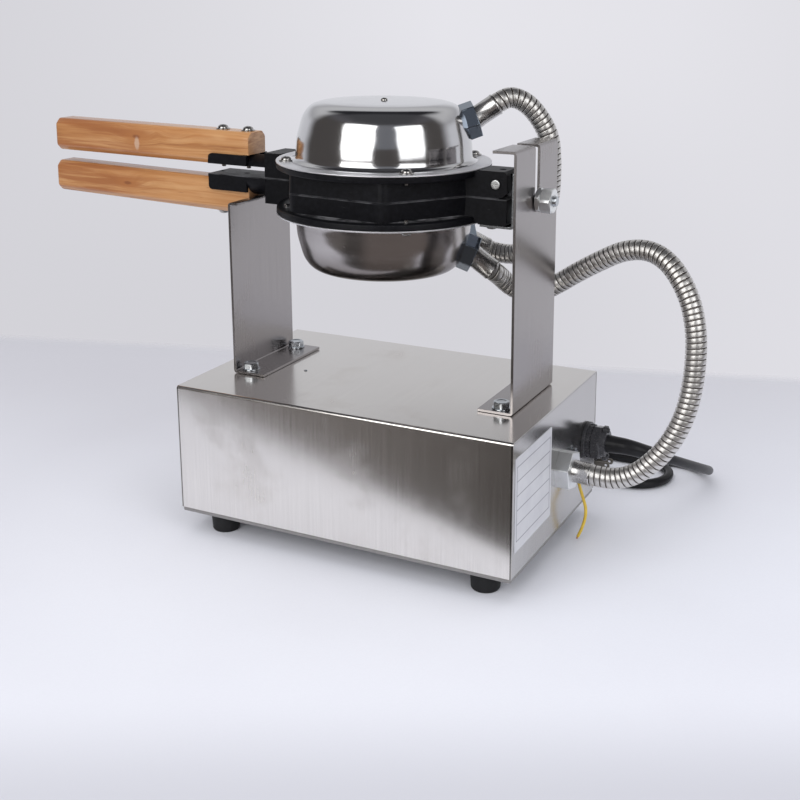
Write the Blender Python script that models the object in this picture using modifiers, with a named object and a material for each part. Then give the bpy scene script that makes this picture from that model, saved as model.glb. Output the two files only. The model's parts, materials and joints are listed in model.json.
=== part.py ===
"""Bubble waffle maker: a stainless base box on four rubber feet, two uprights, and between them a pair of
cast pans that turn over about a bolt in the right upright. The upper pan opens on a hinge pin. Each pan has
a polished heater cover, a wooden handle and a steel conduit for its wires.

Metres, +Z up. Lengths below are in millimetres and are scaled once, by MM.
+X is the hinge and conduit end, -X the handle end, -Y the plain long side, +Y the control side.
The table is at Z = 0.
"""
import math

import bmesh
import bpy
from mathutils import Matrix, Vector

MM = 0.001
GAP = 0.3  # clearance between neighbouring pieces

# ---- where the origin is: under the middle of the whole object, on the table
ORIGIN_X, ORIGIN_Y = 48.24, -9.1

# ---- base box
BASE_L, BASE_W = 346.0, 221.6
BASE_Z0, BASE_Z1 = 25.5, 149.5
SHEET = 1.2
FOOT_X, FOOT_Y = 139.0, 86.0

# ---- uprights (folded from 2.4 mm sheet)
UP_T = 2.4
LEFT_X = -146.2  # outer face of the left plate
LEFT_HALF, LEFT_FOOT, LEFT_TOP_FLANGE, LEFT_Z1 = 53.0, 35.0, 10.6, 320.0
RIGHT_X = 148.2  # outer face of the right plate
RIGHT_HALF, RIGHT_FOOT, RIGHT_TAB, RIGHT_Z1 = 50.7, 34.0, 22.0, 384.5
UP_Z0 = BASE_Z1 + GAP

# ---- the pan head: it turns about the pivot bolt and leans nose-up by TILT
PIVOT = Vector((156.0, 0.0, 336.0))
TILT = math.radians(0.85)
PAN_X = -5.0  # middle of the pans
PAN_R = 102.5
RING_TOP, RING_T = 25.0, 1.2
FLANGE_Z = 17.5
HEX_R = 98.5
RECESS_R = 83.8
RECESS_LOW, RECESS_UP = 7.0, 1.0
BUBBLE_R, BUBBLE_PITCH = 12.2, 27.0
DOME_X = -5.0
PIN_X, PIN_Z, PIN_R = 115.0, 13.0, 3.4
LUG_X1, LUG_HALF = 125.6, 16.0
ARM_HALF = 19.0
SCREW_ANGLES = (46.0, 138.0, -142.0, -50.0)
SCREW_RING = 91.6

# ---- handles
WOOD_X0, WOOD_X1, WOOD_HALF = -394.5, -147.6, 15.4
# height of the inner and the outer face at the free end and at the pan end
UPPER_WOOD = ((8.7, 40.5), (8.4, 42.0))
LOWER_WOOD = ((4.2, 35.2), (5.6, 39.4))
HANDLE_SCREWS = (-188.4, -158.6)

for o in list(bpy.data.objects):
    bpy.data.objects.remove(o)

parts = bpy.data.collections.new("bubble_waffle_maker")
tools = bpy.data.collections.new("cutters")
guides = bpy.data.collections.new("guides")
for c in (parts, tools, guides):
    bpy.context.scene.collection.children.link(c)


def material(name, rgb, rough, metal):
    m = bpy.data.materials.new(name)
    m.use_nodes = True
    b = m.node_tree.nodes["Principled BSDF"]
    b.inputs["Base Color"].default_value = (*rgb, 1)
    b.inputs["Roughness"].default_value = rough
    b.inputs["Metallic"].default_value = metal
    m.diffuse_color = (*rgb, 1)
    return m


BRUSHED = material("brushed_stainless", (0.55, 0.54, 0.53), 0.35, 1.0)
POLISHED = material("polished_stainless", (0.75, 0.75, 0.76), 0.08, 1.0)
ZINC = material("zinc_plated_steel", (0.55, 0.58, 0.62), 0.3, 1.0)
CAST = material("black_coated_casting", (0.02, 0.02, 0.022), 0.4, 0.0)
WOOD = material("varnished_wood", (0.62, 0.36, 0.17), 0.45, 0.0)
RUBBER = material("black_rubber", (0.02, 0.02, 0.02), 0.8, 0.0)
PLASTIC = material("black_plastic", (0.025, 0.025, 0.027), 0.4, 0.0)
CONDUIT = material("steel_conduit", (0.6, 0.59, 0.58), 0.25, 1.0)
YELLOW = material("yellow_wire", (0.7, 0.5, 0.06), 0.5, 0.0)
PAPER = material("label_paper", (0.85, 0.85, 0.86), 0.7, 0.0)
LAMP = material("red_lens", (0.6, 0.04, 0.03), 0.2, 0.0)
CORE = material("heater_and_switch_bodies", (0.25, 0.24, 0.23), 0.5, 0.6)


# ---- frames: empties on the joint axes
class Frame:
    def __init__(self, name, at, parent=None, rot=(0, 0, 0)):
        self.at = Vector(at)
        e = bpy.data.objects.new(name, None)
        guides.objects.link(e)
        e.location = (self.at - (parent.at if parent else Vector())) * MM
        e.rotation_euler = rot
        if parent:
            e.parent = parent.empty
        self.empty = e


WORLD = Frame("waffle_maker", (0, 0, 0))
WORLD.empty.location = (ORIGIN_X * MM, ORIGIN_Y * MM, 0)
HEAD = Frame("flip_axis", PIVOT, WORLD, (0, TILT, 0))
LID = Frame("lid_hinge", (PIN_X, 0, PIVOT.z + PIN_Z), HEAD)


def place(o, frame=WORLD, at=(0, 0, 0), rot=(0, 0, 0), coll=parts):
    for c in list(o.users_collection):
        c.objects.unlink(o)
    coll.objects.link(o)
    o.parent = frame.empty
    o.location = (Vector(at) - frame.at) * MM
    o.rotation_euler = rot
    return o


def obj(name, mesh, mat, **kw):
    o = bpy.data.objects.new(name, mesh)
    if mat:
        mesh.materials.append(mat)
    return place(o, **kw)


def scaled(bm):
    bmesh.ops.scale(bm, vec=(MM, MM, MM), verts=bm.verts)


def to_mesh(bm, name, flip=False):
    bmesh.ops.recalc_face_normals(bm, faces=bm.faces)
    me = bpy.data.meshes.new(name)
    bm.to_mesh(me)
    bm.free()
    return me


def box_mesh(name, lo, hi):
    bm = bmesh.new()
    bmesh.ops.create_cube(bm, size=1)
    lo, hi = Vector(lo), Vector(hi)
    size, mid = hi - lo, (hi + lo) / 2
    bmesh.ops.scale(bm, vec=size, verts=bm.verts)
    bmesh.ops.translate(bm, vec=mid, verts=bm.verts)
    scaled(bm)
    return to_mesh(bm, name)


def box(name, lo, hi, mat=None, **kw):
    return obj(name, box_mesh(name, lo, hi), mat, **kw)


def cyl_mesh(name, r, z0, z1, seg, r2=None, turn=0.0):
    bm = bmesh.new()
    bmesh.ops.create_cone(bm, cap_ends=True, segments=seg, radius1=r, radius2=r if r2 is None else r2, depth=z1 - z0)
    bmesh.ops.rotate(bm, matrix=Matrix.Rotation(math.radians(turn), 3, "Z"), verts=bm.verts)
    bmesh.ops.translate(bm, vec=(0, 0, (z0 + z1) / 2), verts=bm.verts)
    scaled(bm)
    return to_mesh(bm, name)


def cyl(name, r, z0, z1, seg=32, mat=None, r2=None, turn=0.0, **kw):
    return obj(name, cyl_mesh(name, r, z0, z1, seg, r2, turn), mat, **kw)


def turned(name, profile, mat, steps=48, closed=False, **kw):
    """A turned piece. The profile runs down the outer side, from the top to the bottom; a closed one comes
    back up the inner side."""
    me = bpy.data.meshes.new(name)
    n = len(profile)
    edges = [(i, i + 1) for i in range(n - 1)] + ([(n - 1, 0)] if closed else [])
    me.from_pydata([(r * MM, 0, z * MM) for r, z in profile], edges, [])
    o = obj(name, me, mat, **kw)
    m = o.modifiers.new("turn", "SCREW")
    m.steps = m.render_steps = steps
    m.angle = 2 * math.pi
    m.axis = "Z"
    m.use_merge_vertices = True
    m.merge_threshold = 0.00001
    m.use_normal_calculate = False
    m.use_smooth_shade = True
    return o


def cut(o, tool, op="DIFFERENCE"):
    m = o.modifiers.new(op.lower(), "BOOLEAN")
    m.operation = op
    m.object = tool
    m.solver = "EXACT"
    return o


def cutter(o):
    o.hide_render = True
    o.display_type = "WIRE"
    return o


def tool_box(name, lo, hi, **kw):
    return cutter(box(name, lo, hi, coll=tools, **kw))


def tool_cyl(name, r, z0, z1, seg=24, **kw):
    return cutter(cyl(name, r, z0, z1, seg, coll=tools, **kw))


def bevel(o, width, seg=1, angle=40):
    m = o.modifiers.new("bevel", "BEVEL")
    m.width = width * MM
    m.segments = seg
    m.limit_method = "ANGLE"
    m.angle_limit = math.radians(angle)
    m.use_clamp_overlap = True
    return o


def outline_mesh(name, points, z0, z1, holes=()):
    """A flat outline, extruded: a 2D curve made into a mesh."""
    cu = bpy.data.curves.new(name, "CURVE")
    cu.dimensions = "2D"
    cu.fill_mode = "BOTH"
    cu.extrude = (z1 - z0) / 2 * MM
    for ring in (points, *holes):
        sp = cu.splines.new("POLY")
        sp.points.add(len(ring) - 1)
        for p, (x, y) in zip(sp.points, ring):
            p.co = (x * MM, y * MM, 0, 1)
        sp.use_cyclic_u = True
    tmp = bpy.data.objects.new(name + "_curve", cu)
    bpy.context.scene.collection.objects.link(tmp)
    bpy.context.view_layer.update()
    me = bpy.data.meshes.new_from_object(tmp.evaluated_get(bpy.context.evaluated_depsgraph_get()))
    bpy.data.objects.remove(tmp)
    bm = bmesh.new()
    bm.from_mesh(me)
    bmesh.ops.remove_doubles(bm, verts=bm.verts, dist=1e-6)
    bmesh.ops.translate(bm, vec=(0, 0, (z0 + z1) / 2 * MM), verts=bm.verts)
    bmesh.ops.dissolve_limit(bm, angle_limit=0.002, verts=bm.verts, edges=bm.edges)
    return to_mesh(bm, name)


def rounded(corners, radius, seg=4):
    """The corners of a polygon, each rounded by a radius (or its own radius)."""
    out = []
    n = len(corners)
    for i, c in enumerate(corners):
        r = radius[i] if isinstance(radius, (list, tuple)) else radius
        p = Vector(c)
        a = (Vector(corners[i - 1]) - p).normalized()
        b = (Vector(corners[(i + 1) % n]) - p).normalized()
        if r <= 0:
            out.append(tuple(p))
            continue
        half = a.angle(b) / 2
        d = r / math.tan(half)
        mid = p + (a + b).normalized() * (r / math.sin(half))
        s, e = p + a * d, p + b * d
        a0 = math.atan2(s.y - mid.y, s.x - mid.x)
        a1 = math.atan2(e.y - mid.y, e.x - mid.x)
        turn = (a1 - a0 + math.pi) % (2 * math.pi) - math.pi
        for k in range(seg + 1):
            t = a0 + turn * k / seg
            out.append((mid.x + r * math.cos(t), mid.y + r * math.sin(t)))
    return out


def smooth_route(points, step):
    """Points about one step apart on a smooth curve through the route's points."""
    p = [Vector(q) for q in points]
    p = [p[0] * 2 - p[1]] + p + [p[-1] * 2 - p[-2]]
    dense = []
    for i in range(1, len(p) - 2):
        p0, p1, p2, p3 = p[i - 1 : i + 3]
        t0, t1 = 0.0, (p1 - p0).length ** 0.5
        t2 = t1 + (p2 - p1).length ** 0.5
        t3 = t2 + (p3 - p2).length ** 0.5
        for k in range(24):
            t = t1 + (t2 - t1) * k / 24
            a1 = p0 * ((t1 - t) / (t1 - t0)) + p1 * ((t - t0) / (t1 - t0))
            a2 = p1 * ((t2 - t) / (t2 - t1)) + p2 * ((t - t1) / (t2 - t1))
            a3 = p2 * ((t3 - t) / (t3 - t2)) + p3 * ((t - t2) / (t3 - t2))
            b1 = a1 * ((t2 - t) / (t2 - t0)) + a2 * ((t - t0) / (t2 - t0))
            b2 = a2 * ((t3 - t) / (t3 - t1)) + a3 * ((t - t1) / (t3 - t1))
            dense.append(b1 * ((t2 - t) / (t2 - t1)) + b2 * ((t - t1) / (t2 - t1)))
    dense.append(p[-2])
    run = [0.0]
    for a, b in zip(dense, dense[1:]):
        run.append(run[-1] + (b - a).length)
    count = max(2, round(run[-1] / step))
    out, j = [], 0
    for k in range(count + 1):
        s = run[-1] * k / count
        while j < len(run) - 2 and run[j + 1] < s:
            j += 1
        f = (s - run[j]) / max(run[j + 1] - run[j], 1e-9)
        out.append(dense[j].lerp(dense[j + 1], min(max(f, 0), 1)))
    return out


def tube(name, points, radius, mat, res=2, **kw):
    """A tube along points: a curve with a bevel and filled caps."""
    cu = bpy.data.curves.new(name, "CURVE")
    cu.dimensions = "3D"
    cu.bevel_depth = radius * MM
    cu.bevel_resolution = res
    cu.use_fill_caps = True
    cu.twist_mode = "MINIMUM"
    sp = cu.splines.new("POLY")
    sp.points.add(len(points) - 1)
    for p, q in zip(sp.points, points):
        p.co = (q[0] * MM, q[1] * MM, q[2] * MM, 1)
    cu.materials.append(mat)
    o = bpy.data.objects.new(name, cu)
    return place(o, **kw)


def union(name, meshes, mat, **kw):
    """One solid from several closed meshes in the same frame."""
    first, *rest = meshes
    o = obj(name, first, mat, **kw)
    for i, me in enumerate(rest):
        frame = kw.get("frame", WORLD)
        t = cutter(obj(f"{name}_add{i}", me, None, coll=tools, frame=frame, at=kw.get("at", (0, 0, 0)), rot=kw.get("rot", (0, 0, 0))))
        cut(o, t, "UNION")
    return o


def moved(me, matrix):
    me.transform(matrix)
    if matrix.determinant() < 0:
        me.flip_normals()
    return me


def T(x, y, z):
    return Matrix.Translation((x * MM, y * MM, z * MM))


def R(angle, axis):
    return Matrix.Rotation(math.radians(angle), 4, axis)


HX = BASE_L / 2
HY = BASE_W / 2
RZ = 90 * math.pi / 180

# =====================================================================  base
# housing: top and four sides in one sheet shell, open below
bm = bmesh.new()
bmesh.ops.create_cube(bm, size=1)
bmesh.ops.scale(bm, vec=(BASE_L, BASE_W, BASE_Z1 - BASE_Z0), verts=bm.verts)
bmesh.ops.translate(bm, vec=(0, 0, (BASE_Z0 + BASE_Z1) / 2), verts=bm.verts)
low = [f for f in bm.faces if f.normal.z < -0.5]
bmesh.ops.delete(bm, geom=low, context="FACES_ONLY")
edges = [e for e in bm.edges if len(e.link_faces) == 2]
bmesh.ops.bevel(bm, geom=edges, offset=1.3, segments=2, profile=0.5, affect="EDGES", clamp_overlap=True)
scaled(bm)
bmesh.ops.recalc_face_normals(bm, faces=bm.faces)
if sum(f.normal.z * f.calc_area() for f in bm.faces) < 0:
    bmesh.ops.reverse_faces(bm, faces=bm.faces)
me = bpy.data.meshes.new("housing")
bm.to_mesh(me)
bm.free()
housing = obj("housing", me, BRUSHED)
m = housing.modifiers.new("sheet", "SOLIDIFY")
m.thickness = SHEET * MM
m.offset = -1
m.use_even_offset = True

# bottom tray with a folded edge that stands just proud below the housing
bottom = box("bottom_plate", (-HX + 0.8, -HY + 0.8, 21.4), (HX - 0.8, HY - 0.8, BASE_Z0 - GAP), BRUSHED)
bevel(bottom, 0.7)

for i, (sx, sy) in enumerate(((-1, -1), (1, -1), (-1, 1), (1, 1))):
    turned(
        f"foot_{i + 1}",
        [(0, 21.1), (13.4, 21.1), (14.6, 20.0), (14.6, 17.5), (13.2, 1.2), (12.2, 0.0), (0, 0.0)],
        RUBBER,
        steps=16,
        at=(sx * FOOT_X, sy * FOOT_Y, 0),
    )


# the power switch's rocker dips into the panel
SWITCH = (52.0, 88.0)
cut(housing, tool_box("switch_hole", (SWITCH[0] - 12.6, HY - 3, SWITCH[1] - 9.2), (SWITCH[0] + 12.6, HY + 3, SWITCH[1] + 9.2)))


# uprights, each folded from one strip: foot flange, plate, top flange
def upright(name, x_out, inward, half, foot, top, z1, side_x=1):
    """x_out is the plate's outer face and inward is +1 or -1, the way that both flanges point."""
    t = UP_T
    a, b = x_out, x_out + inward * t
    pts = [
        (x_out, UP_Z0),
        (x_out + inward * foot, UP_Z0),
        (x_out + inward * foot, UP_Z0 + t),
        (b, UP_Z0 + t),
        (b, z1 - t),
        (x_out + inward * top, z1 - t),
        (x_out + inward * top, z1),
        (a, z1),
    ]
    radii = [1.8, 0.3, 0.3, 0.8, 0.8, 0.3, 0.3, 1.8]
    ring = rounded(pts, radii, 2)
    if inward < 0:
        ring = ring[::-1]
    me = outline_mesh(name, ring, -half, half)
    # the outline's X, Y are the object's X, Z
    return obj(name, moved(me, R(90, "X")), BRUSHED)


left = upright("left_upright", LEFT_X, 1, LEFT_HALF, LEFT_FOOT, LEFT_TOP_FLANGE, LEFT_Z1)
right = upright("right_upright", RIGHT_X, -1, RIGHT_HALF, RIGHT_FOOT, RIGHT_TAB, RIGHT_Z1)
# open slot for the pivot bolt, through the tab and down the plate
bolt_z = PIVOT.z + (PIVOT.x - 147) * math.sin(TILT)
slot = tool_box("slot_cut", (RIGHT_X - RIGHT_TAB - 2, -5.3, bolt_z), (RIGHT_X + 2, 5.3, RIGHT_Z1 + 3))
cut(right, slot)
slot_end = tool_cyl("slot_end_cut", 5.3, RIGHT_X - UP_T - 2, RIGHT_X + 2, 20, at=(0, 0, bolt_z), rot=(0, RZ, 0))
cut(right, slot_end)

# hex bolts that hold the uprights down, through holes in the flange and the housing
UPRIGHT_BOLTS = [(LEFT_X + 13.2, -42.0), (LEFT_X + 13.2, 42.0), (RIGHT_X - 14.6, -41.0), (RIGHT_X - 14.6, 41.0)]
for i, (x, y) in enumerate(UPRIGHT_BOLTS):
    z = UP_Z0 + UP_T + GAP
    washer = cyl_mesh("w", 8.6, 0, 1.4, 24)
    head = cyl_mesh("h", 8.0, 1.2, 7.0, 6, turn=20 + 17 * i)
    shank = cyl_mesh("s", 3.8, -14.0, 0.4, 12)
    union(f"upright_bolt_{i + 1}", [washer, head, shank], ZINC, at=(x, y, z))
    hole = tool_cyl(f"upright_hole_{i}", 4.3, BASE_Z1 - 6, UP_Z0 + 6, 16, at=(x, y, 0))
    cut(left if x < 0 else right, hole)
    cut(housing, hole)

# ---- right end: label plate, earth stud, conduit fitting, cable gland
box("rating_label", (HX + 0.15, -105.0, 47.5), (HX + 0.45, -17.0, 133.5), PAPER)

# earth stud: a short thread, its nut, and a ring terminal whose barrel stands up
stud = union(
    "earth_stud",
    [
        cyl_mesh("s", 2.4, 0, 6.6, 12),
        cyl_mesh("n", 7.6, 0.3, 2.2, 20),
        cyl_mesh("n", 6.6, 2.0, 5.6, 6, turn=10),
        moved(cyl_mesh("t", 2.1, 4.0, 11.5, 10), T(0, 0, 2.4) @ R(-90, "Y")),
    ],
    ZINC,
    at=(HX + GAP, 40.0, 87.6),
    rot=(0, RZ, 0),
)
WIRE_ROUTE = [(3.6, 39.9, 78.6), (4.6, 39.7, 72.0), (6.6, 39.5, 65.0), (9.4, 39.2, 55.0), (12.9, 38.9, 45.0), (15.8, 38.8, 35.0), (15.6, 38.6, 25.0), (12.8, 38.3, 14.0), (9.2, 38.0, 5.0)]
tube("earth_wire", smooth_route([(HX + a, b, c) for a, b, c in WIRE_ROUTE], 6.0), 1.5, YELLOW, res=2)

# cable gland: a round flange, a hex body and a clamp with two ears
GLAND = Vector((HX + GAP, 84.5, 85.5))
gland = union(
    "cable_gland",
    [
        cyl_mesh("g", 18.6, 0, 3.4, 32),
        cyl_mesh("g", 16.6, 3.0, 8.0, 32, r2=16.0),
        cyl_mesh("g", 17.6, 7.6, 17.0, 6, turn=15),
        cyl_mesh("g", 14.4, 16.6, 21.5, 32, r2=12.6),
        box_mesh("g", (-17.4, -5.0, 15.0), (17.4, 5.0, 20.5)),
        cyl_mesh("g", 9.4, 21.0, 30.0, 24, r2=6.6),
    ],
    PLASTIC,
    at=GLAND,
    rot=(0, RZ, 0),
)

# mains cord: from the gland down to the table behind the base, then wound into an oblong hank
CORD_R = 4.9
CORD_Z = CORD_R + 0.2
HANK = (102.0, 223.0)  # middle of the hank
HANK_RUN, HANK_IN, HANK_OUT, HANK_H = 170.0, 24.5, 46.0, 10.2
cord_start = GLAND + Vector((31.0, 0, 0))
CORD_ROUTE = [
    tuple(cord_start),
    (211.0, 84.5, 85.5),
    (219.0, 86.6, 84.0),
    (228.0, 91.5, 80.7),
    (238.8, 103.0, 74.5),
    (247.3, 118.0, 66.7),
    (253.8, 136.0, 58.0),
    (258.8, 156.0, 48.6),
    (262.6, 177.0, 39.0),
    (264.6, 198.0, 29.6),
    (264.0, 219.0, 20.6),
    (259.5, 239.0, 12.4),
    (249.0, 255.0, 6.8),
    (232.0, 263.5, CORD_Z),
]
tube("power_cord", smooth_route(CORD_ROUTE, 11.0), CORD_R, PLASTIC, res=3)

# =====================================================================  the pan head
HZ = PIVOT.z  # parting plane, before the lean


def hexagon(r, rc, seg=3):
    return rounded([(PAN_X + r * math.cos(math.radians(a)), r * math.sin(math.radians(a))) for a in range(0, 360, 60)], rc, seg)


def bubbles():
    """Centres of the bubble cups: a hexagon of seven rows without its corners."""
    out = []
    for i in range(-3, 4):
        for j in range(-3, 4):
            if abs(i + j) <= 3:
                x, y = BUBBLE_PITCH * (i + j / 2), BUBBLE_PITCH * j * math.sqrt(3) / 2
                if math.hypot(x, y) < 2.9 * BUBBLE_PITCH:
                    out.append((PAN_X + x, y))
    return out


def cup_cutter(name, floor, depth, seg=8):
    """All the cups as one cutter: flattened half balls, each closed above the plate."""
    bm = bmesh.new()
    rings = 2
    for x, y in bubbles():
        top = [bm.verts.new((x + BUBBLE_R * math.cos(2 * math.pi * k / seg), y + BUBBLE_R * math.sin(2 * math.pi * k / seg), floor + 0.3)) for k in range(seg)]
        loops = [top]
        for q in range(rings):
            t = q / rings * math.pi / 2
            rr, zz = BUBBLE_R * math.cos(t), floor - depth * math.sin(t)
            if q == 0:
                rr, zz = BUBBLE_R, floor
            loops.append([bm.verts.new((x + rr * math.cos(2 * math.pi * k / seg), y + rr * math.sin(2 * math.pi * k / seg), zz)) for k in range(seg)])
        pole = bm.verts.new((x, y, floor - depth))
        bm.faces.new(top)
        for a, b in zip(loops, loops[1:]):
            for k in range(seg):
                bm.faces.new((a[k], b[k], b[(k + 1) % seg], a[(k + 1) % seg]))
        for k in range(seg):
            bm.faces.new((loops[-1][k], pole, loops[-1][(k + 1) % seg]))
    scaled(bm)
    return to_mesh(bm, name)


def half_round(name, r, x0, x1, z_cut, low, seg=20):
    """A journal along X: the part of a round bar beyond z_cut, on the low or the high side."""
    pts = []
    a0 = math.asin(z_cut / r)
    for k in range(seg + 1):
        t = a0 + (math.pi - 2 * a0) * k / seg
        pts.append((r * math.cos(t), r * math.sin(t)))
    me = outline_mesh(name, pts, x0, x1)
    # outline X -> Y, outline Y -> Z, extrusion Z -> X
    m4 = Matrix(((0, 0, 1, 0), (1, 0, 0, 0), (0, 1, 0, 0), (0, 0, 0, 1)))
    me = moved(me, m4)
    return moved(me, Matrix.Scale(-1, 4, (0, 0, 1))) if low else me


def pan(name, low):
    """A pan casting in the head's frame with the parting plane at Z = 0. The low one is built upside down
    from the same numbers as the high one, except where they differ."""
    s = -1 if low else 1
    frame = HEAD if low else LID
    flip = Matrix.Scale(-1, 4, (0, 0, 1)) if low else Matrix.Identity(4)
    # inner face of the arm, thickness of its plate, and height of its side walls
    a0, a1, wall = (GAP / 2, 3.6, 16.0) if low else (9.8, 13.2, 20.0)
    solid = []
    body = outline_mesh("p", hexagon(HEX_R, 9.0), GAP / 2, FLANGE_Z + 0.5)
    solid.append(moved(body, flip))
    fl = cyl_mesh("p", PAN_R, FLANGE_Z, RING_TOP - RING_T - GAP, 48)
    solid.append(moved(moved(fl, T(PAN_X, 0, 0)), flip))
    # neck between the pan and the arm
    solid.append(moved(box_mesh("p", (-125.5, -ARM_HALF, GAP / 2), (-107.9, ARM_HALF, RING_TOP - 0.3)), flip))
    solid.append(moved(box_mesh("p", (-112.0, -ARM_HALF + 0.01, GAP / 2 + 0.01), (-88.0, ARM_HALF - 0.01, 23.3)), flip))
    # arm: a plate with a wall on each side of the wood, and a round journal over the left upright
    # the upper plate is narrower at its journal, so that its edges stay inside the journal's circle
    half = ARM_HALF if low else 14.4
    solid.append(moved(box_mesh("p", (-194.0, -ARM_HALF, a0), (-146.9, ARM_HALF, a1)), flip))
    solid.append(moved(box_mesh("p", (-147.6, -half + 0.01, a0), (-125.0, half - 0.01, a1)), flip))
    for y in (-1, 1):
        a, b = sorted((y * ARM_HALF, y * (ARM_HALF - 3.0)))
        solid.append(moved(box_mesh("p", (-193.6, a, a0 + 0.3), (-147.0, b, wall)), flip))
    solid.append(half_round("p", 19.8, -147.2, -124.6, a0 + 0.2, low))
    # hinge lug
    if low:
        side = [(84.0, -23.3), (98.2, -23.3), (98.2, -24.2), (LUG_X1, -24.2), (LUG_X1, -GAP / 2), (84.0, -GAP / 2)]
        solid.append(moved(outline_mesh("p", side, -LUG_HALF, LUG_HALF), R(90, "X")))
        # middle knuckle that carries the pin
        side = [(PIN_X - 7.8, -3.0), (PIN_X + 7.8, -3.0)]
        side += [(PIN_X + 8.0 * math.cos(math.radians(a)), PIN_Z + 8.0 * math.sin(math.radians(a))) for a in range(0, 181, 15)]
        solid.append(moved(outline_mesh("p", side, -7.0, 7.0), R(90, "X")))
    else:
        arc = [(PIN_X + 12.6 * math.sin(t), PIN_Z - 12.6 * math.cos(t)) for t in [math.radians(6 * k) for k in range(0, 11)]]
        side = [(84.0, GAP / 2), (PIN_X - 0.1, GAP / 2)] + arc + [(LUG_X1, 10.5), (LUG_X1, 21.4), (LUG_X1 - 3.2, 24.6), (98.2, 24.6), (98.2, 23.3), (84.0, 23.3)]
        lug = outline_mesh("p", side, -LUG_HALF, LUG_HALF)
        solid.append(moved(lug, R(90, "X")))
    o = union(name, solid, CAST, frame=frame, at=(0, 0, HZ))
    kw = dict(frame=frame, at=(0, 0, HZ))
    # plate recess and bubble cups
    depth = RECESS_LOW if low else RECESS_UP
    rec = cutter(obj(name + "_recess", moved(moved(cyl_mesh("c", RECESS_R, -2, depth, 48), T(PAN_X, 0, 0)), flip), None, coll=tools, **kw))
    cut(o, rec)
    cups = cup_cutter("cups", -depth, 11.5)
    if not low:
        cups = moved(cups, Matrix.Scale(-1, 4, (0, 0, 1)))
    cut(o, cutter(obj(name + "_cups", cups, None, coll=tools, **kw)))
    # pin hole
    hole = moved(cyl_mesh("c", PIN_R + GAP, -30, 30, 20), T(PIN_X, 0, PIN_Z) @ R(90, "X"))
    cut(o, cutter(obj(name + "_pin_hole", hole, None, coll=tools, **kw)))
    if not low:
        cut(o, tool_box(name + "_slot", (PIN_X - 11.5, -7.5, -1.0), (PIN_X + 30, 7.5, 22.2), **kw))
        # oil hole over the pin
        cut(o, tool_cyl(name + "_oil", 3.2, 18, 30, 16, frame=frame, at=(PIN_X, 0, HZ)))
    else:
        # room for the hinge bracket's screw
        cut(o, tool_cyl(name + "_bracket_hole", 3.0, -30, -12, 16, frame=frame, at=(105.6, 0, HZ)))
    # screw holes in the flange
    for k, a in enumerate(SCREW_ANGLES):
        x, y = PAN_X + SCREW_RING * math.cos(math.radians(a)), SCREW_RING * math.sin(math.radians(a))
        z0, z1 = (-30, -14.6) if low else (14.6, 30)
        cut(o, tool_cyl(f"{name}_screw_{k}", 2.8, z0, z1, 12, frame=frame, at=(x, y, HZ)))
    # holes for the handle screws
    for k, x in enumerate(HANDLE_SCREWS):
        z0, z1 = (-9, 4) if low else (5, 18)
        cut(o, tool_cyl(f"{name}_handle_{k}", 2.9, z0, z1, 12, frame=frame, at=(x, 0, HZ)))
    return o


lower_pan = pan("lower_pan", True)
upper_pan = pan("upper_pan", False)

cyl("hinge_pin", PIN_R, -LUG_HALF - 1.2, LUG_HALF + 1.2, 20, ZINC, frame=HEAD, at=(PIN_X, 0, HZ + PIN_Z), rot=(RZ, 0, 0))

# stainless cover rings, heater covers, ring screws and heaters
for low in (True, False):
    s = -1 if low else 1
    tag = "lower" if low else "upper"
    frame = HEAD if low else LID
    rot = (math.pi, 0, 0) if low else (0, 0, 0)
    at = (PAN_X, 0, HZ)
    z0, z1 = RING_TOP - RING_T, RING_TOP
    ring = turned(
        f"{tag}_ring",
        [(PAN_R - 0.4, z1), (PAN_R, z1 - 0.5), (PAN_R, z0), (74.0, z0), (74.0, z1)],
        POLISHED,
        steps=48,
        closed=True,
        frame=frame,
        at=at,
        rot=rot,
    )
    # deep drawn cover with a small flat rim, 1 mm sheet
    zb = z1 + GAP
    outer = [(0, 55.0), (48, 54.4), (60, 53.2), (68.5, 50.0), (75.0, 42.0), (79.2, 30.0), (82.0, 20.5), (83.4, 9.0), (83.9, 0.0)]
    inner = [(82.4, 0.0), (82.0, 9.0), (80.5, 20.2), (77.7, 29.5), (73.6, 41.2), (67.6, 48.8), (59.6, 51.8), (47.8, 53.0), (0, 53.6)]
    dome = turned(f"{tag}_heater_cover", [(r, zb + z) for r, z in outer + inner], POLISHED, steps=44, frame=frame, at=(DOME_X, 0, HZ), rot=rot)
    for k, a in enumerate(SCREW_ANGLES):
        x, y = PAN_X + SCREW_RING * math.cos(math.radians(a)), SCREW_RING * math.sin(math.radians(a))
        cut(ring, tool_cyl(f"{tag}_ring_hole_{k}", 2.8, s * RING_TOP - 5, s * RING_TOP + 5, 12, frame=frame, at=(x, y, HZ)))
        turned(
            f"{tag}_ring_screw_{k + 1}",
            [(0, 4.4), (3.4, 3.6), (4.8, 1.5), (6.6, 1.3), (6.6, 0.0), (2.3, 0.0), (2.3, -10.2), (0, -10.2)],
            ZINC,
            steps=10,
            frame=frame,
            at=(x, y, HZ + s * (RING_TOP + GAP)),
            rot=rot,
        )
    # heater: a bent rod on the casting's back, under the cover
    turns = []
    for k in range(0, 33):
        t = k / 32
        a = math.radians(200 + 660 * t)
        r = 62 - 30 * t
        turns.append((PAN_X + r * math.cos(a), r * math.sin(a), HZ + s * 29.2))
    tube(f"{tag}_heater", turns, 4.0, CORE, res=1, frame=frame)

# conduit fittings on the covers: a hex nut, and a ferrule that leaves it at its own angle
NUT_R = 17.8


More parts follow.
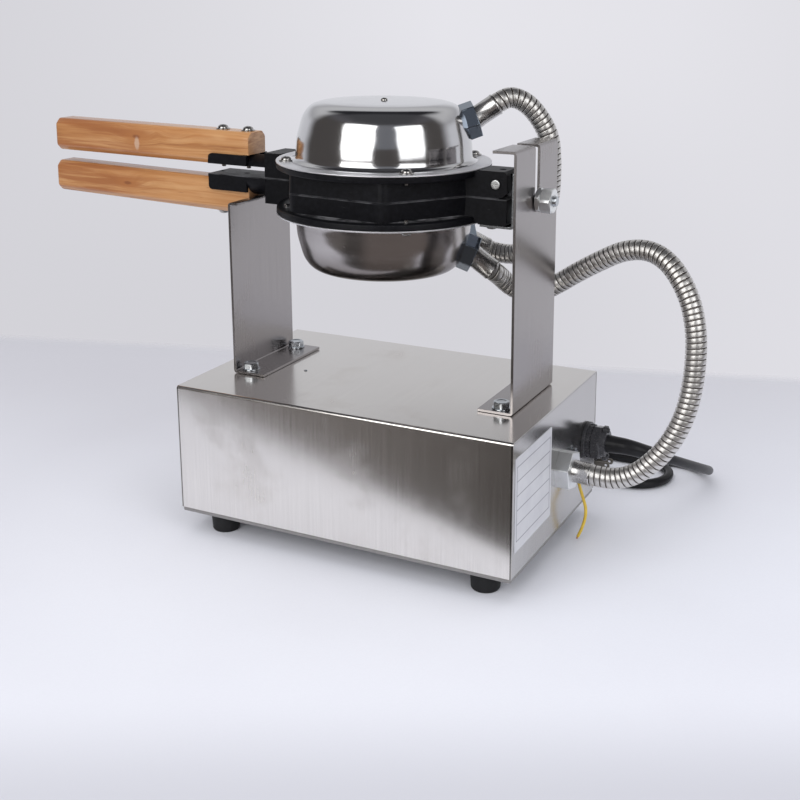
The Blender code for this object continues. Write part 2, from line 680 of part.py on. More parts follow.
def fitting(name, frame, at, nut_dir, out_dir, ferrule=17.0, turn=0.0, nut=9.4, nut_r=NUT_R):
    a, b = Vector(nut_dir).normalized(), Vector(out_dir).normalized()
    to_a = Vector((0, 0, 1)).rotation_difference(a).to_matrix().to_4x4()
    to_b = Vector((0, 0, 1)).rotation_difference(b).to_matrix().to_4x4()
    top = a * (nut - 4.0) * MM
    hexa = moved(cyl_mesh("f", nut_r, 0, nut, 6, turn=turn), to_a)
    sleeve = moved(cyl_mesh("f", 10.6, 0, ferrule + 4.0, 24), Matrix.Translation(top) @ to_b)
    return union(name, [hexa, sleeve], ZINC, frame=frame, at=at)


def fitting_end(at, nut_dir, out_dir, ferrule=17.0, nut=9.4):
    """Where the sleeve ends."""
    a, b = Vector(nut_dir).normalized(), Vector(out_dir).normalized()
    return Vector(at) + a * (nut - 4.0) + b * (ferrule + 4.0)


def ray(az, el):
    az, el = math.radians(az), math.radians(el)
    return Vector((math.cos(el) * math.cos(az), math.cos(el) * math.sin(az), math.sin(el)))


def around(r, az, z):
    return Vector((DOME_X + r * math.cos(math.radians(az)), r * math.sin(math.radians(az)), z))


UP_FIT, UP_A, UP_B = around(77.6, 29.4, HZ + 60.3), ray(29.4, 20), ray(29.4, 34)
LOW_MAIN, LOW_MAIN_A, LOW_MAIN_B = around(78.0, 21.0, HZ - 61.0), ray(21, -22), ray(30, -38)
LOW_LINK, LOW_LINK_A, LOW_LINK_B = around(80.4, 50.0, HZ - 54.0), ray(50, -14), ray(42, -30)
fitting("upper_link_fitting", LID, UP_FIT, UP_A, UP_B, turn=12)
fitting("lower_main_fitting", HEAD, LOW_MAIN, LOW_MAIN_A, LOW_MAIN_B, turn=18)
fitting("lower_link_fitting", HEAD, LOW_LINK, LOW_LINK_A, LOW_LINK_B, turn=5)
BASE_FIT = Vector((HX + GAP, 11.0, 83.0))
fitting("base_conduit_fitting", WORLD, BASE_FIT, (1, 0, 0), (1, 0, -0.06), turn=15, nut=12.6, nut_r=20.8, ferrule=13.6)

lean = Matrix.Translation(PIVOT) @ Matrix.Rotation(TILT, 4, "Y") @ Matrix.Translation(-PIVOT)


def leaned(p):
    return lean @ Vector(p)


UP_END = fitting_end(UP_FIT, UP_A, UP_B) + UP_B * 1.2
LOW_MAIN_END = fitting_end(LOW_MAIN, LOW_MAIN_A, LOW_MAIN_B) + LOW_MAIN_B * 1.6
LOW_LINK_END = fitting_end(LOW_LINK, LOW_LINK_A, LOW_LINK_B) + LOW_LINK_B * 1.6
BASE_END = fitting_end(BASE_FIT, (1, 0, 0), (1, 0, -0.06), ferrule=13.6, nut=12.6) + Vector((1, 0, -0.06)).normalized() * 1.0
LINK_ROUTE = [
    leaned(UP_END),
    leaned(UP_END + UP_B * 6),
    (96.6, 58.0, 419.7),
    (103.8, 62.0, 418.3),
    (111.0, 66.0, 413.8),
    (117.4, 70.0, 406.5),
    (122.8, 73.0, 398.1),
    (127.2, 75.0, 389.8),
    (130.7, 76.5, 379.0),
    (132.2, 78.0, 360.0),
    (132.0, 79.0, 345.3),
    (131.3, 79.5, 330.6),
    (127.6, 80.5, 313.6),
    (120.4, 81.5, 294.0),
    (108.8, 82.5, 277.6),
    (96.6, 84.0, 265.8),
    leaned(LOW_LINK_END + LOW_LINK_B * 8),
    leaned(LOW_LINK_END),
]
MAIN_ROUTE = [
    leaned(LOW_MAIN_END),
    leaned(LOW_MAIN_END + LOW_MAIN_B * 5),
    (91.9, 52.5, 249.7),
    (101.2, 62.0, 237.8),
    (119.8, 70.0, 231.3),
    (140.5, 73.5, 241.2),
    (162.2, 73.0, 255.7),
    (187.2, 72.0, 270.8),
    (206.0, 70.0, 280.5),
    (224.7, 68.0, 284.6),
    (240.0, 65.0, 282.6),
    (254.0, 61.0, 274.6),
    (268.0, 56.5, 260.0),
    (278.5, 52.0, 242.6),
    (286.0, 47.0, 219.0),
    (288.4, 43.0, 195.0),
    (287.4, 38.0, 168.0),
    (283.0, 32.0, 145.0),
    (273.0, 26.0, 122.0),
    (259.0, 20.5, 104.0),
    (243.2, 16.0, 89.2),
    (231.8, 14.0, 83.7),
    (218.8, 12.4, 81.0),
    tuple(BASE_END + Vector((7.0, 0.2, -0.2))),
    tuple(BASE_END),
]
CONDUIT_R = 10.1


def led(route, step):
    """A smooth route whose first and last lengths run straight out of the fittings."""
    return [Vector(route[0])] + smooth_route(route[1:-1], step) + [Vector(route[-1])]


tube("link_conduit", led(LINK_ROUTE, 11.0), CONDUIT_R, CONDUIT, res=3)
tube("main_conduit", led(MAIN_ROUTE, 14.0), CONDUIT_R, CONDUIT, res=3)

# pivot: a bent strap under the lower lug, its screw, and the bolt with its nuts
strap_profile = [(99.3, -26.7), (132.6, -26.7), (132.6, 23.4), (129.7, 23.4), (129.7, -24.3), (99.3, -24.3)]
strap = obj("pivot_bracket", moved(outline_mesh("b", rounded(strap_profile, [0.4, 3.2, 0.4, 0.4, 1.0, 0.4], 3), -14, 14), R(90, "X")), ZINC, frame=HEAD, at=(0, 0, HZ))
cut(strap, tool_cyl("strap_hole", 5.1, 125, 136, 20, frame=HEAD, at=(0, 0, HZ), rot=(0, RZ, 0)))
cut(strap, tool_cyl("strap_screw_hole", 3.0, -30, -20, 16, frame=HEAD, at=(105.6, 0, HZ)))
turned(
    "bracket_screw",
    [(0, 4.0), (3.4, 3.4), (5.4, 1.8), (5.8, 0), (2.5, 0), (2.5, -11.5), (0, -12)],
    ZINC,
    steps=20,
    frame=HEAD,
    at=(105.6, 0, HZ - 26.7 - GAP),
    rot=(math.pi, 0, 0),
)
union(
    "pivot_bolt",
    [cyl_mesh("b", 6.2, 127.3, 129.3, 24), cyl_mesh("b", 4.8, 129.0, 167.0, 20)],
    ZINC,
    frame=HEAD,
    at=(0, 0, HZ),
    rot=(0, RZ, 0),
)


def nut(name, r, x0, x1, turn):
    o = cyl(name, r, x0, x1, 6, ZINC, turn=turn, frame=HEAD, at=(0, 0, HZ), rot=(0, RZ, 0))
    cut(o, tool_cyl(name + "_bore", 5.1, x0 - 2, x1 + 2, 20, frame=HEAD, at=(0, 0, HZ), rot=(0, RZ, 0)))
    return o


nut("jam_nut", 12.0, 149.2, 153.6, 12)
nut("pivot_nut", 12.2, 154.0, 164.0, 28)


# ---- wooden handles: a chamfered bar that swells toward the pan, cut back where the arm's plate holds it
def handle(name, low):
    frame = HEAD if low else LID
    flip = Matrix.Scale(-1, 4, (0, 0, 1)) if low else Matrix.Identity(4)
    (f0, f1), (p0, p1) = LOWER_WOOD if low else UPPER_WOOD
    c, h = 5.2, WOOD_HALF
    z0, z1 = 0.0, 33.0
    pts = [(-h, z0 + c), (-h + c, z0), (h - c, z0), (h, z0 + c), (h, z1 - c), (h - c, z1), (-h + c, z1), (-h, z1 - c)]
    me = outline_mesh(name, rounded(pts, 3.0, 2), WOOD_X0, WOOD_X1)
    me = moved(me, Matrix(((0, 0, 1, 0), (1, 0, 0, 0), (0, 1, 0, 0), (0, 0, 0, 1))))
    for v in me.vertices:
        free = v.co.x < (WOOD_X0 + 1) * MM
        lo, hi = (f0, f1) if free else (p0, p1)
        v.co.z = (lo + (hi - lo) * v.co.z / MM / 33.0) * MM
    me = moved(me, flip)
    kw = dict(frame=frame, at=(0, 0, HZ))
    o = obj(name, me, WOOD, **kw)
    plate = 3.6 + GAP if low else 13.2 + GAP
    za, zb = (-plate, 1.0) if low else (3.0, plate)
    cut(o, tool_box(name + "_rebate", (-194.4, -30, za), (-140, 30, zb), **kw))
    for k, x in enumerate(HANDLE_SCREWS):
        top = p1 + (f1 - p1) * (WOOD_X1 - x - 7.2) / (WOOD_X1 - WOOD_X0)
        cut(o, tool_cyl(f"{name}_hole_{k}", 2.9, -50, 50, 12, frame=frame, at=(x, 0, HZ)))
        # the upper screws show below the arm's plate; the lower ones stop inside it
        tip = -(top + GAP - 2.4) if low else -(top + GAP - 5.1)
        turned(
            f"{name}_screw_{k + 1}",
            [(0, 4.6), (3.8, 3.8), (5.4, 1.4), (7.0, 1.2), (7.0, 0.0), (2.4, 0.0), (2.4, tip), (0, tip)],
            ZINC,
            steps=10,
            frame=frame,
            at=(x, 0, HZ + (-1 if low else 1) * (top + GAP)),
            rot=(math.pi, 0, 0) if low else (0, 0, 0),
        )
    return o


handle("lower_handle", True)
handle("upper_handle", False)

# =====================================================================  control side, at +Y
FY = HY + GAP


def dial(name, x, z, teeth):
    """A knob on the axis Y at (x, z): skirt and grip."""
    skirt = cyl_mesh("k", 21.0, 0.6, 4.0, 36, r2=20.2)
    grip = cyl_mesh("k", 15.5, 3.6, 17.0, teeth, r2=14.0)
    bar = box_mesh("k", (-1.6, 8.0, 16.0), (1.6, 15.0, 17.9))
    return union(name, [skirt, grip, bar], PLASTIC, at=(x, FY, z), rot=(-RZ, 0, 0))


THERMO = (-108.0, 88.0)
TIMER = (-30.0, 88.0)
PILOT = (104.0, 88.0)
dial("thermostat_knob", *THERMO, 24)
dial("timer_knob", *TIMER, 24)
# bodies of the thermostat and the timer behind the panel
for name, (x, z), w in (("thermostat_body", THERMO, 17.0), ("timer_body", TIMER, 22.0)):
    box(name, (x - w, HY - SHEET - GAP - 30, z - w), (x + w, HY - SHEET - GAP, z + w), CORE)
bezel = box("switch_bezel", (SWITCH[0] - 16.0, FY, SWITCH[1] - 12.5), (SWITCH[0] + 16.0, FY + 2.2, SWITCH[1] + 12.5), PLASTIC)
cut(bezel, tool_box("bezel_hole", (SWITCH[0] - 12.6, FY - 3, SWITCH[1] - 9.2), (SWITCH[0] + 12.6, FY + 5, SWITCH[1] + 9.2)))
# rocker: a shallow V that tips about a vertical axis through its middle
obj("power_rocker", outline_mesh("r", [(-11.8, -2.2), (11.8, -2.2), (11.8, 0.0), (0.0, 2.2), (-11.8, 3.2)], -8.8, 8.8), LAMP, at=(SWITCH[0], FY + 2.4, SWITCH[1]))
turned("pilot_lamp", [(0, 7.0), (4.0, 6.0), (6.0, 3.4), (6.2, 1.8), (8.6, 1.6), (8.6, 0.0), (0, 0.0)], LAMP, steps=24, at=(PILOT[0], FY, PILOT[1]), rot=(-RZ, 0, 0))

# =====================================================================  cord hank and plug
hank_pts = []
for side, sx in ((1, 1), (-1, -1)):
    for k in range(13):
        t = math.radians(-90 + 180 * k / 12) if side > 0 else math.radians(90 + 180 * k / 12)
        hank_pts.append((HANK[0] + sx * HANK_RUN / 2 + HANK_OUT * math.cos(t), HANK[1] + HANK_OUT * math.sin(t)))
hole_pts = []
for side, sx in ((1, 1), (-1, -1)):
    for k in range(9):
        t = math.radians(-90 + 180 * k / 8) if side > 0 else math.radians(90 + 180 * k / 8)
        hole_pts.append((HANK[0] + sx * HANK_RUN / 2 + HANK_IN * math.cos(t), HANK[1] + HANK_IN * math.sin(t)))
obj("cord_hank", outline_mesh("cord_hank", hank_pts, 0.2, HANK_H, holes=[hole_pts]), PLASTIC)
# plug: a flat moulded body with two blades, lying on the table inside the hank
plug_body = rounded([(14.0, -7.0), (21.0, -12.4), (44.0, -13.0), (44.0, 13.0), (21.0, 12.4), (14.0, 7.0)], [2.0, 6.0, 3.0, 3.0, 6.0, 2.0], 3)
union(
    "plug",
    [
        outline_mesh("p", plug_body, 0.4, 14.4),
        moved(cyl_mesh("p", 5.6, 0, 17.0, 20, r2=6.8), T(0, 0, 7.2) @ R(90, "Y")),
        box_mesh("p", (43.0, 5.6, 4.0), (61.0, 7.1, 10.3)),
        box_mesh("p", (43.0, -7.1, 4.0), (61.0, -5.6, 10.3)),
    ],
    PLASTIC,
    at=(96.0, HANK[1], 0),
)
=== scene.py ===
"""Looks of the bubble waffle maker: its finishes, castings, fasteners, wooden handles, conduits and cords, and a
plain pale studio. Lengths are in millimetres in the base's own frame and are scaled once, by MM."""

import json
import math

import bmesh
import bpy
import numpy as np
from mathutils import Matrix, Vector

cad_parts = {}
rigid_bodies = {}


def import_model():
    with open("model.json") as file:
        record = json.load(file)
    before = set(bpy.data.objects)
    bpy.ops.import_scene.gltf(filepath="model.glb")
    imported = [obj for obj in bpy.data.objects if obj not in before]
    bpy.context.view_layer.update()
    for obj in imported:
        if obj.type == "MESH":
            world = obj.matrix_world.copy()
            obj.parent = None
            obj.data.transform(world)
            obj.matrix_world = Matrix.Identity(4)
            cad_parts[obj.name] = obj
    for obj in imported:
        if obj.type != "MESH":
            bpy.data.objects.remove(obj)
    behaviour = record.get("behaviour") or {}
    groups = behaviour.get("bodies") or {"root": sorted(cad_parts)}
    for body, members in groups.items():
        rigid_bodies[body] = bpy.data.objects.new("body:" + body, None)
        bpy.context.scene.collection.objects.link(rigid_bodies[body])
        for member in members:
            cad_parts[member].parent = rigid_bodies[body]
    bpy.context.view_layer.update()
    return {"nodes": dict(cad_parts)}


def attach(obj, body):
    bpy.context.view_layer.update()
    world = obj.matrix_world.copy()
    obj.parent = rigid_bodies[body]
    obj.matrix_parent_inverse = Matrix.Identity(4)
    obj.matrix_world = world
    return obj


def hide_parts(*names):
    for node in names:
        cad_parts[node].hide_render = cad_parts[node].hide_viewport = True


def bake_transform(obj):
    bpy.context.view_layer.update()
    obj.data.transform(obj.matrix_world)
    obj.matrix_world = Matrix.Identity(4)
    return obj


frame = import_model()
NODES = frame["nodes"]
scene = bpy.context.scene

MM = 0.001
GAP = 0.3
ORIGIN = Vector((48.24, -9.1, 0.0))
PIVOT = Vector((156.0, 0.0, 336.0))
TILT = math.radians(0.85)
HZ = PIVOT.z
EYE4 = Matrix.Identity(4)
BASE = Matrix.Translation(ORIGIN * MM)
LEAN = Matrix.Translation(PIVOT) @ Matrix.Rotation(TILT, 4, "Y") @ Matrix.Translation(-PIVOT)
HEAD = (
    BASE
    @ Matrix.Translation(PIVOT * MM)
    @ Matrix.Rotation(TILT, 4, "Y")
    @ Matrix.Translation(-PIVOT * MM)
    @ Matrix.Translation((0, 0, HZ * MM))
)  # local z is measured from the parting plane
FLIP = Matrix.Rotation(math.pi, 4, "X")

# sizes shared with the frame
BASE_L, BASE_W, BASE_Z0, BASE_Z1, SHEET = 346.0, 221.6, 25.5, 149.5, 1.2
HX, HY = BASE_L / 2, BASE_W / 2
PAN_X, PAN_R, HEX_R = -5.0, 102.5, 98.5
RECESS_R, RECESS_LOW, RECESS_UP = 83.8, 7.0, 1.0
BUBBLE_R, BUBBLE_PITCH = 12.2, 27.0
PIN_X, PIN_Z = 115.0, 13.0
ARM_HALF, LUG_HALF, LUG_X1 = 19.0, 16.0, 125.6
SCREW_ANGLES, SCREW_RING = (46.0, 138.0, -142.0, -50.0), 91.6
WOOD_X0, WOOD_X1, WOOD_HALF = -394.5, -147.6, 15.4
WOOD_SHIFT = {True: 1.0, False: 2.2}
UPPER_WOOD, LOWER_WOOD = ((9.2, 42.8), (8.4, 42.0)), ((2.0, 34.2), (5.6, 39.4))
HANDLE_SCREWS = (-188.4, -158.6)

# =====================================================================  camera
AZ, EL, ROLL = (math.radians(a) for a in (27.091, 13.112, -0.347))
FOCAL, CENTRE_Y = 1219.8, 270.0  # in pixels of the 800 x 800 picture
EYE = (Vector((524.7, -1003.3, 521.0)) + ORIGIN) * MM
back = Vector((math.sin(AZ) * math.cos(EL), -math.cos(AZ) * math.cos(EL), math.sin(EL)))
side = Vector((math.cos(AZ), math.sin(AZ), 0.0))
up = back.cross(side)
side, up = side * math.cos(ROLL) + up * math.sin(ROLL), up * math.cos(ROLL) - side * math.sin(ROLL)
cam_data = bpy.data.cameras.new("camera")
cam_data.sensor_width = 36.0
cam_data.sensor_fit = "HORIZONTAL"
cam_data.lens = 36.0 * FOCAL / 800.0
cam_data.shift_y = -(400.0 - CENTRE_Y) / 800.0
cam_data.clip_start, cam_data.clip_end = 0.01, 50.0
cam = bpy.data.objects.new("camera", cam_data)
scene.collection.objects.link(cam)
turn = Matrix((side, up, back)).transposed().to_4x4()
cam.matrix_world = Matrix.Translation(EYE) @ turn
scene.camera = cam


def floor_at(px, py):
    """The point of the table under a place in the picture, in metres."""
    d = -back + side * ((px - 400.0) / FOCAL) - up * ((py - CENTRE_Y) / FOCAL)
    return EYE + d * (-EYE.z / d.z)


# =====================================================================  materials
class Paint:
    """A Principled material and the few nodes that the finishes here need."""

    def __init__(self, name, **sockets):
        self.m = bpy.data.materials.new(name)
        self.m.use_nodes = True
        self.t = self.m.node_tree
        self.b = self.t.nodes["Principled BSDF"]
        self.coords = self.t.nodes.new("ShaderNodeTexCoord")
        self.at = self.coords.outputs["Object"]
        for k, v in sockets.items():
            self.set(k, v)

    def set(self, name, value):
        names = {
            "color": "Base Color",
            "rough": "Roughness",
            "metal": "Metallic",
            "coat": "Coat Weight",
            "coat_rough": "Coat Roughness",
            "ior": "IOR",
            "specular": "Specular IOR Level",
            "aniso": "Anisotropic",
            "sheen": "Sheen Weight",
            "normal": "Normal",
            "coat_normal": "Coat Normal",
            "emit": "Emission Color",
            "emit_strength": "Emission Strength",
            "alpha": "Alpha",
        }
        s = self.b.inputs[names[name]]
        if hasattr(value, "is_linked"):
            self.t.links.new(value, s)
        elif name in ("color", "emit"):
            s.default_value = (*value, 1.0)
        else:
            s.default_value = value
        return self

    def node(self, kind, **props):
        n = self.t.nodes.new(kind)
        for k, v in props.items():
            setattr(n, k, v)
        return n

    def plug(self, socket, value):
        if hasattr(value, "is_linked"):
            self.t.links.new(value, socket)
        elif isinstance(value, (tuple, list, Vector)) and len(value) == 3 and socket.type == "RGBA":
            socket.default_value = (*value, 1.0)
        else:
            socket.default_value = value

    def scaled(self, scale, loc=(0, 0, 0), rot=(0, 0, 0), of=None):
        n = self.node("ShaderNodeMapping")
        self.plug(n.inputs["Vector"], of or self.at)
        n.inputs["Scale"].default_value = scale
        n.inputs["Location"].default_value = loc
        n.inputs["Rotation"].default_value = [math.radians(a) for a in rot]
        return n.outputs["Vector"]

    def noise(self, vector, scale=1.0, detail=3.0, rough=0.5, distortion=0.0):
        n = self.node("ShaderNodeTexNoise")
        self.plug(n.inputs["Vector"], vector)
        n.inputs["Scale"].default_value = scale
        n.inputs["Detail"].default_value = detail
        n.inputs["Roughness"].default_value = rough
        n.inputs["Distortion"].default_value = distortion
        return n.outputs["Fac"]

    def voronoi(self, vector, scale=1.0, feature="F1"):
        n = self.node("ShaderNodeTexVoronoi", feature=feature)
        self.plug(n.inputs["Vector"], vector)
        n.inputs["Scale"].default_value = scale
        return n.outputs["Distance"]

    def ramp(self, fac, *stops, ease=False):
        n = self.node("ShaderNodeValToRGB")
        self.plug(n.inputs["Fac"], fac)
        e = n.color_ramp.elements
        while len(e) < len(stops):
            e.new(0.5)
        if ease:
            n.color_ramp.interpolation = "EASE"
        for el, (p, c) in zip(e, stops):
            el.position = p
            c = (c, c, c) if isinstance(c, (int, float)) else c
            el.color = (*c, 1.0)
        return n.outputs["Color"]

    def span(self, value, a0, a1, b0=0.0, b1=1.0, smooth=False):
        n = self.node("ShaderNodeMapRange")
        if smooth:
            n.interpolation_type = "SMOOTHSTEP"
        for k, v in zip(("Value", "From Min", "From Max", "To Min", "To Max"), (value, a0, a1, b0, b1)):
            self.plug(n.inputs[k], v)
        return n.outputs["Result"]

    def calc(self, op, a, b=0.0, c=0.0):
        n = self.node("ShaderNodeMath", operation=op)
        for s, v in zip(n.inputs, (a, b, c)):
            self.plug(s, v)
        return n.outputs["Value"]

    def mix(self, fac, a, b, how="MIX"):
        n = self.node("ShaderNodeMix", data_type="RGBA", blend_type=how)
        self.plug(n.inputs["Factor"], fac)
        self.plug(n.inputs["A"] if n.inputs["A"].type == "RGBA" else n.inputs[6], a)
        self.plug(n.inputs["B"] if n.inputs["B"].type == "RGBA" else n.inputs[7], b)
        return n.outputs[2]

    def parts(self, vector=None):
        n = self.node("ShaderNodeSeparateXYZ")
        self.plug(n.inputs[0], vector or self.at)
        return n.outputs

    def bump(self, height, distance, strength=1.0, under=None):
        n = self.node("ShaderNodeBump")
        self.plug(n.inputs["Height"], height)
        n.inputs["Distance"].default_value = distance
        n.inputs["Strength"].default_value = strength
        if under:
            self.plug(n.inputs["Normal"], under)
        return n.outputs["Normal"]


def steel(name, color, rough, grain, swing=0.03, wave=0.0, brush=0.0000022, smudge=0.05, stain=(0.30, 0.22, 0.15), seam=None):
    """Sheet steel with drawn grain. grain is the noise frequency along X, Y and Z, per metre."""
    p = Paint(name, metal=1.0)
    fine = p.noise(p.scaled(grain), 1.0, 4.0, 0.65)
    broad = p.noise(p.scaled([g ** 0.5 * 1.6 for g in grain]), 1.0, 2.0, 0.5)
    blot = p.noise(p.at, 14.0, 4.0, 0.6)
    hand = p.span(blot, 0.52, 0.72, 0.0, smudge, smooth=True)
    tone = p.mix(p.span(fine, 0.37, 0.63, 0.0, 1.0), tuple(c * 0.943 for c in color), tuple(min(1.0, c * 1.045) for c in color))
    tone = p.mix(p.span(broad, 0.35, 0.65, 0.0, 0.25), tone, tuple(c * 0.96 for c in color))
    if seam:
        # the top is smoother than the sides
        tone = p.mix(p.span(p.parts()[2], 0.1490, 0.1494, 0.0, 0.70), tone, color)
    tone = p.mix(hand, tone, stain)
    if seam:
        q = p.parts()
        lid = p.span(q[2], 0.1490, 0.1494)
        # painted shade: the top of the sheet darkened a little towards its front right
        painted_shade_front = p.calc("MULTIPLY", p.span(q[0], -0.02, 0.15, smooth=True), p.span(q[1], 0.02, -0.10, smooth=True))
        tone = p.mix(p.calc("MULTIPLY", p.calc("MULTIPLY", lid, painted_shade_front), 0.30), tone, (0.44, 0.42, 0.405))
        # painted shadow: a thin dark line on the sides just inside each end of the sheet, where it bends round to the
        # end panels
        away = p.calc("ABSOLUTE", p.parts()[0])
        side_on = p.span(p.calc("ABSOLUTE", p.parts(p.coords.outputs["Normal"])[2]), 0.2, 0.5, 1.0, 0.0)
        line = p.calc("MULTIPLY", p.span(away, seam - 0.0020, seam - 0.0014), p.span(away, seam - 0.0007, seam - 0.0002, 1.0, 0.25))
        tone = p.mix(p.calc("MULTIPLY", p.calc("MULTIPLY", line, side_on), 0.85), tone, (0.07, 0.065, 0.06))
    p.set("color", tone)
    r = p.calc("ADD", p.span(fine, 0.25, 0.75, rough - swing, rough + swing), p.calc("MULTIPLY", hand, 0.9))
    p.set("rough", r)
    n = p.bump(fine, brush)
    if wave:
        n = p.bump(p.noise(p.at, 7.0, 1.0, 0.4), wave, under=n)
    p.set("normal", n)
    return p.m


WRAP = steel("brushed_steel_wrap", (0.81, 0.785, 0.757), 0.185, (1100.0, 11.0, 11.0), swing=0.02, wave=0.00022, brush=0.0000042, smudge=0.10, seam=HX * MM)
END = steel("brushed_steel_end", (0.60, 0.59, 0.58), 0.18, (11.0, 1500.0, 11.0), swing=0.02, wave=0.00045, smudge=0.05)
PLATE = steel("brushed_steel_upright", (0.375, 0.355, 0.355), 0.24, (14.0, 1500.0, 11.0), swing=0.03, wave=0.0004, brush=0.000005, smudge=0.05)
TRAY = steel("brushed_steel_tray", (0.33, 0.32, 0.31), 0.34, (900.0, 14.0, 14.0), swing=0.05)


def spun(name, color, rough, swing, smudge, haze=0.0, metal=1.0, crown_dark=0.0):
    """Spun, polished steel: faint rings about the local Z axis, fine scratches and finger marks.

    haze is the extra roughness of the finest rings; the last argument sets how far the crown is darkened to a dark
    brown.
    """
    p = Paint(name, metal=metal)
    x, y, z = p.parts()
    rad = p.calc("SQRT", p.calc("ADD", p.calc("MULTIPLY", x, x), p.calc("MULTIPLY", y, y)))
    comb = p.node("ShaderNodeCombineXYZ")
    p.plug(comb.inputs[0], p.calc("ADD", rad, z))
    p.plug(comb.inputs[1], p.calc("MULTIPLY", p.calc("ARCTAN2", y, x), 0.0012))
    p.plug(comb.inputs[2], p.calc("MULTIPLY", z, 0.2))
    ring = p.noise(comb.outputs[0], 1500.0, 3.0, 0.6)
    blot = p.noise(p.at, 26.0, 4.0, 0.65)
    hand = p.span(blot, 0.54, 0.74, 0.0, smudge, smooth=True)
    scratch = p.noise(p.scaled((240.0, 2600.0, 900.0), rot=(20, 35, 64)), 1.0, 2.0, 0.5)
    line = p.span(scratch, 0.70, 0.76, 0.0, 1.0)
    tone = p.mix(p.calc("MULTIPLY", line, 0.18), p.mix(hand, color, tuple(c * 0.72 for c in color)), tuple(c * 0.55 for c in color))
    # the crown darkened to a patchy dark brown
    if crown_dark:
        tone = p.mix(p.calc("MULTIPLY", p.span(z, 0.048, 0.074, smooth=True), p.span(blot, 0.30, 0.70, crown_dark * 0.8, crown_dark)), tone, (0.11, 0.092, 0.082))
    p.set("color", tone)
    r = p.span(ring, 0.3, 0.7, rough - swing, rough + swing)
    if haze:
        r = p.calc("ADD", r, p.span(ring, 0.53, 0.60, 0.0, haze))
    r = p.calc("ADD", r, p.calc("ADD", p.calc("MULTIPLY", hand, 0.5), p.calc("MULTIPLY", line, 0.10)))
    p.set("rough", r)
    p.set("normal", p.bump(ring, 0.000004, under=p.bump(blot, 0.00008)))
    return p.m


DOME = spun("polished_cover", (0.60, 0.60, 0.61), 0.115, 0.015, 0.10)
LOW_DOME = spun("satin_cover", (0.485, 0.462, 0.456), 0.20, 0.012, 0.10, haze=0.015, crown_dark=0.92)
RING = spun("satin_ring", (0.86, 0.86, 0.89), 0.46, 0.05, 0.15, metal=0.88)


def metal(name, color, rough, spots=0.0, grain=900.0, depth=0.00003, tint=(0.25, 0.20, 0.14)):
    """Plated or plain small metal parts."""
    p = Paint(name, metal=1.0)
    n = p.noise(p.at, grain, 3.0, 0.6)
    big = p.noise(p.at, 160.0, 4.0, 0.6)
    wear_and_glint = p.span(big, 0.56, 0.70, 0.0, spots, smooth=True)
    p.set("color", p.mix(wear_and_glint, p.mix(p.span(n, 0.3, 0.7, 0.0, 0.4), color, tuple(c * 0.86 for c in color)), tint))
    p.set("rough", p.calc("ADD", p.span(n, 0.3, 0.7, rough * 0.8, rough * 1.25), p.calc("MULTIPLY", wear_and_glint, 0.3)))
    p.set("normal", p.bump(n, depth))
    return p.m


ZINC = metal("zinc_plate", (0.56, 0.59, 0.62), 0.22, 0.18)
NUT = metal("bright_zinc_nut", (0.90, 0.915, 0.92), 0.36, 0.06, depth=0.00001)
SCREW = metal("plated_screw", (0.46, 0.45, 0.44), 0.13, 0.35, depth=0.000006)
DARK_NUT = metal("dark_plated_nut", (0.25, 0.29, 0.345), 0.12, 0.06, depth=0.000002)
BLACK_SCREW = metal("blackened_screw", (0.10, 0.10, 0.105), 0.30, 0.10, depth=0.000003)
CHROME = metal("chromed_sleeve", (0.62, 0.61, 0.60), 0.25, 0.03, depth=0.000001)
SPIRAL = metal("conduit_spiral", (0.70, 0.685, 0.665), 0.37, 0.04, grain=500.0, depth=0.000003)
# painted shade: a dark material for the conduit's grooves, standing for the shadow inside them
GROOVE_SHADE = metal("conduit_groove_shade", (0.20, 0.175, 0.16), 0.50, 0.10, depth=0.000003)
PIN = metal("bright_pin", (0.74, 0.75, 0.75), 0.30, 0.35)
BLADE = metal("terminal_tin", (0.66, 0.64, 0.58), 0.22, 0.10)
PLUG_BLADE = metal("plug_blade", (0.20, 0.185, 0.16), 0.35, 0.10, depth=0.000005)
COPPER = metal("bare_copper", (0.72, 0.38, 0.22), 0.30, 0.2)
CORE = metal("heater_rod", (0.22, 0.20, 0.18), 0.45, 0.5)


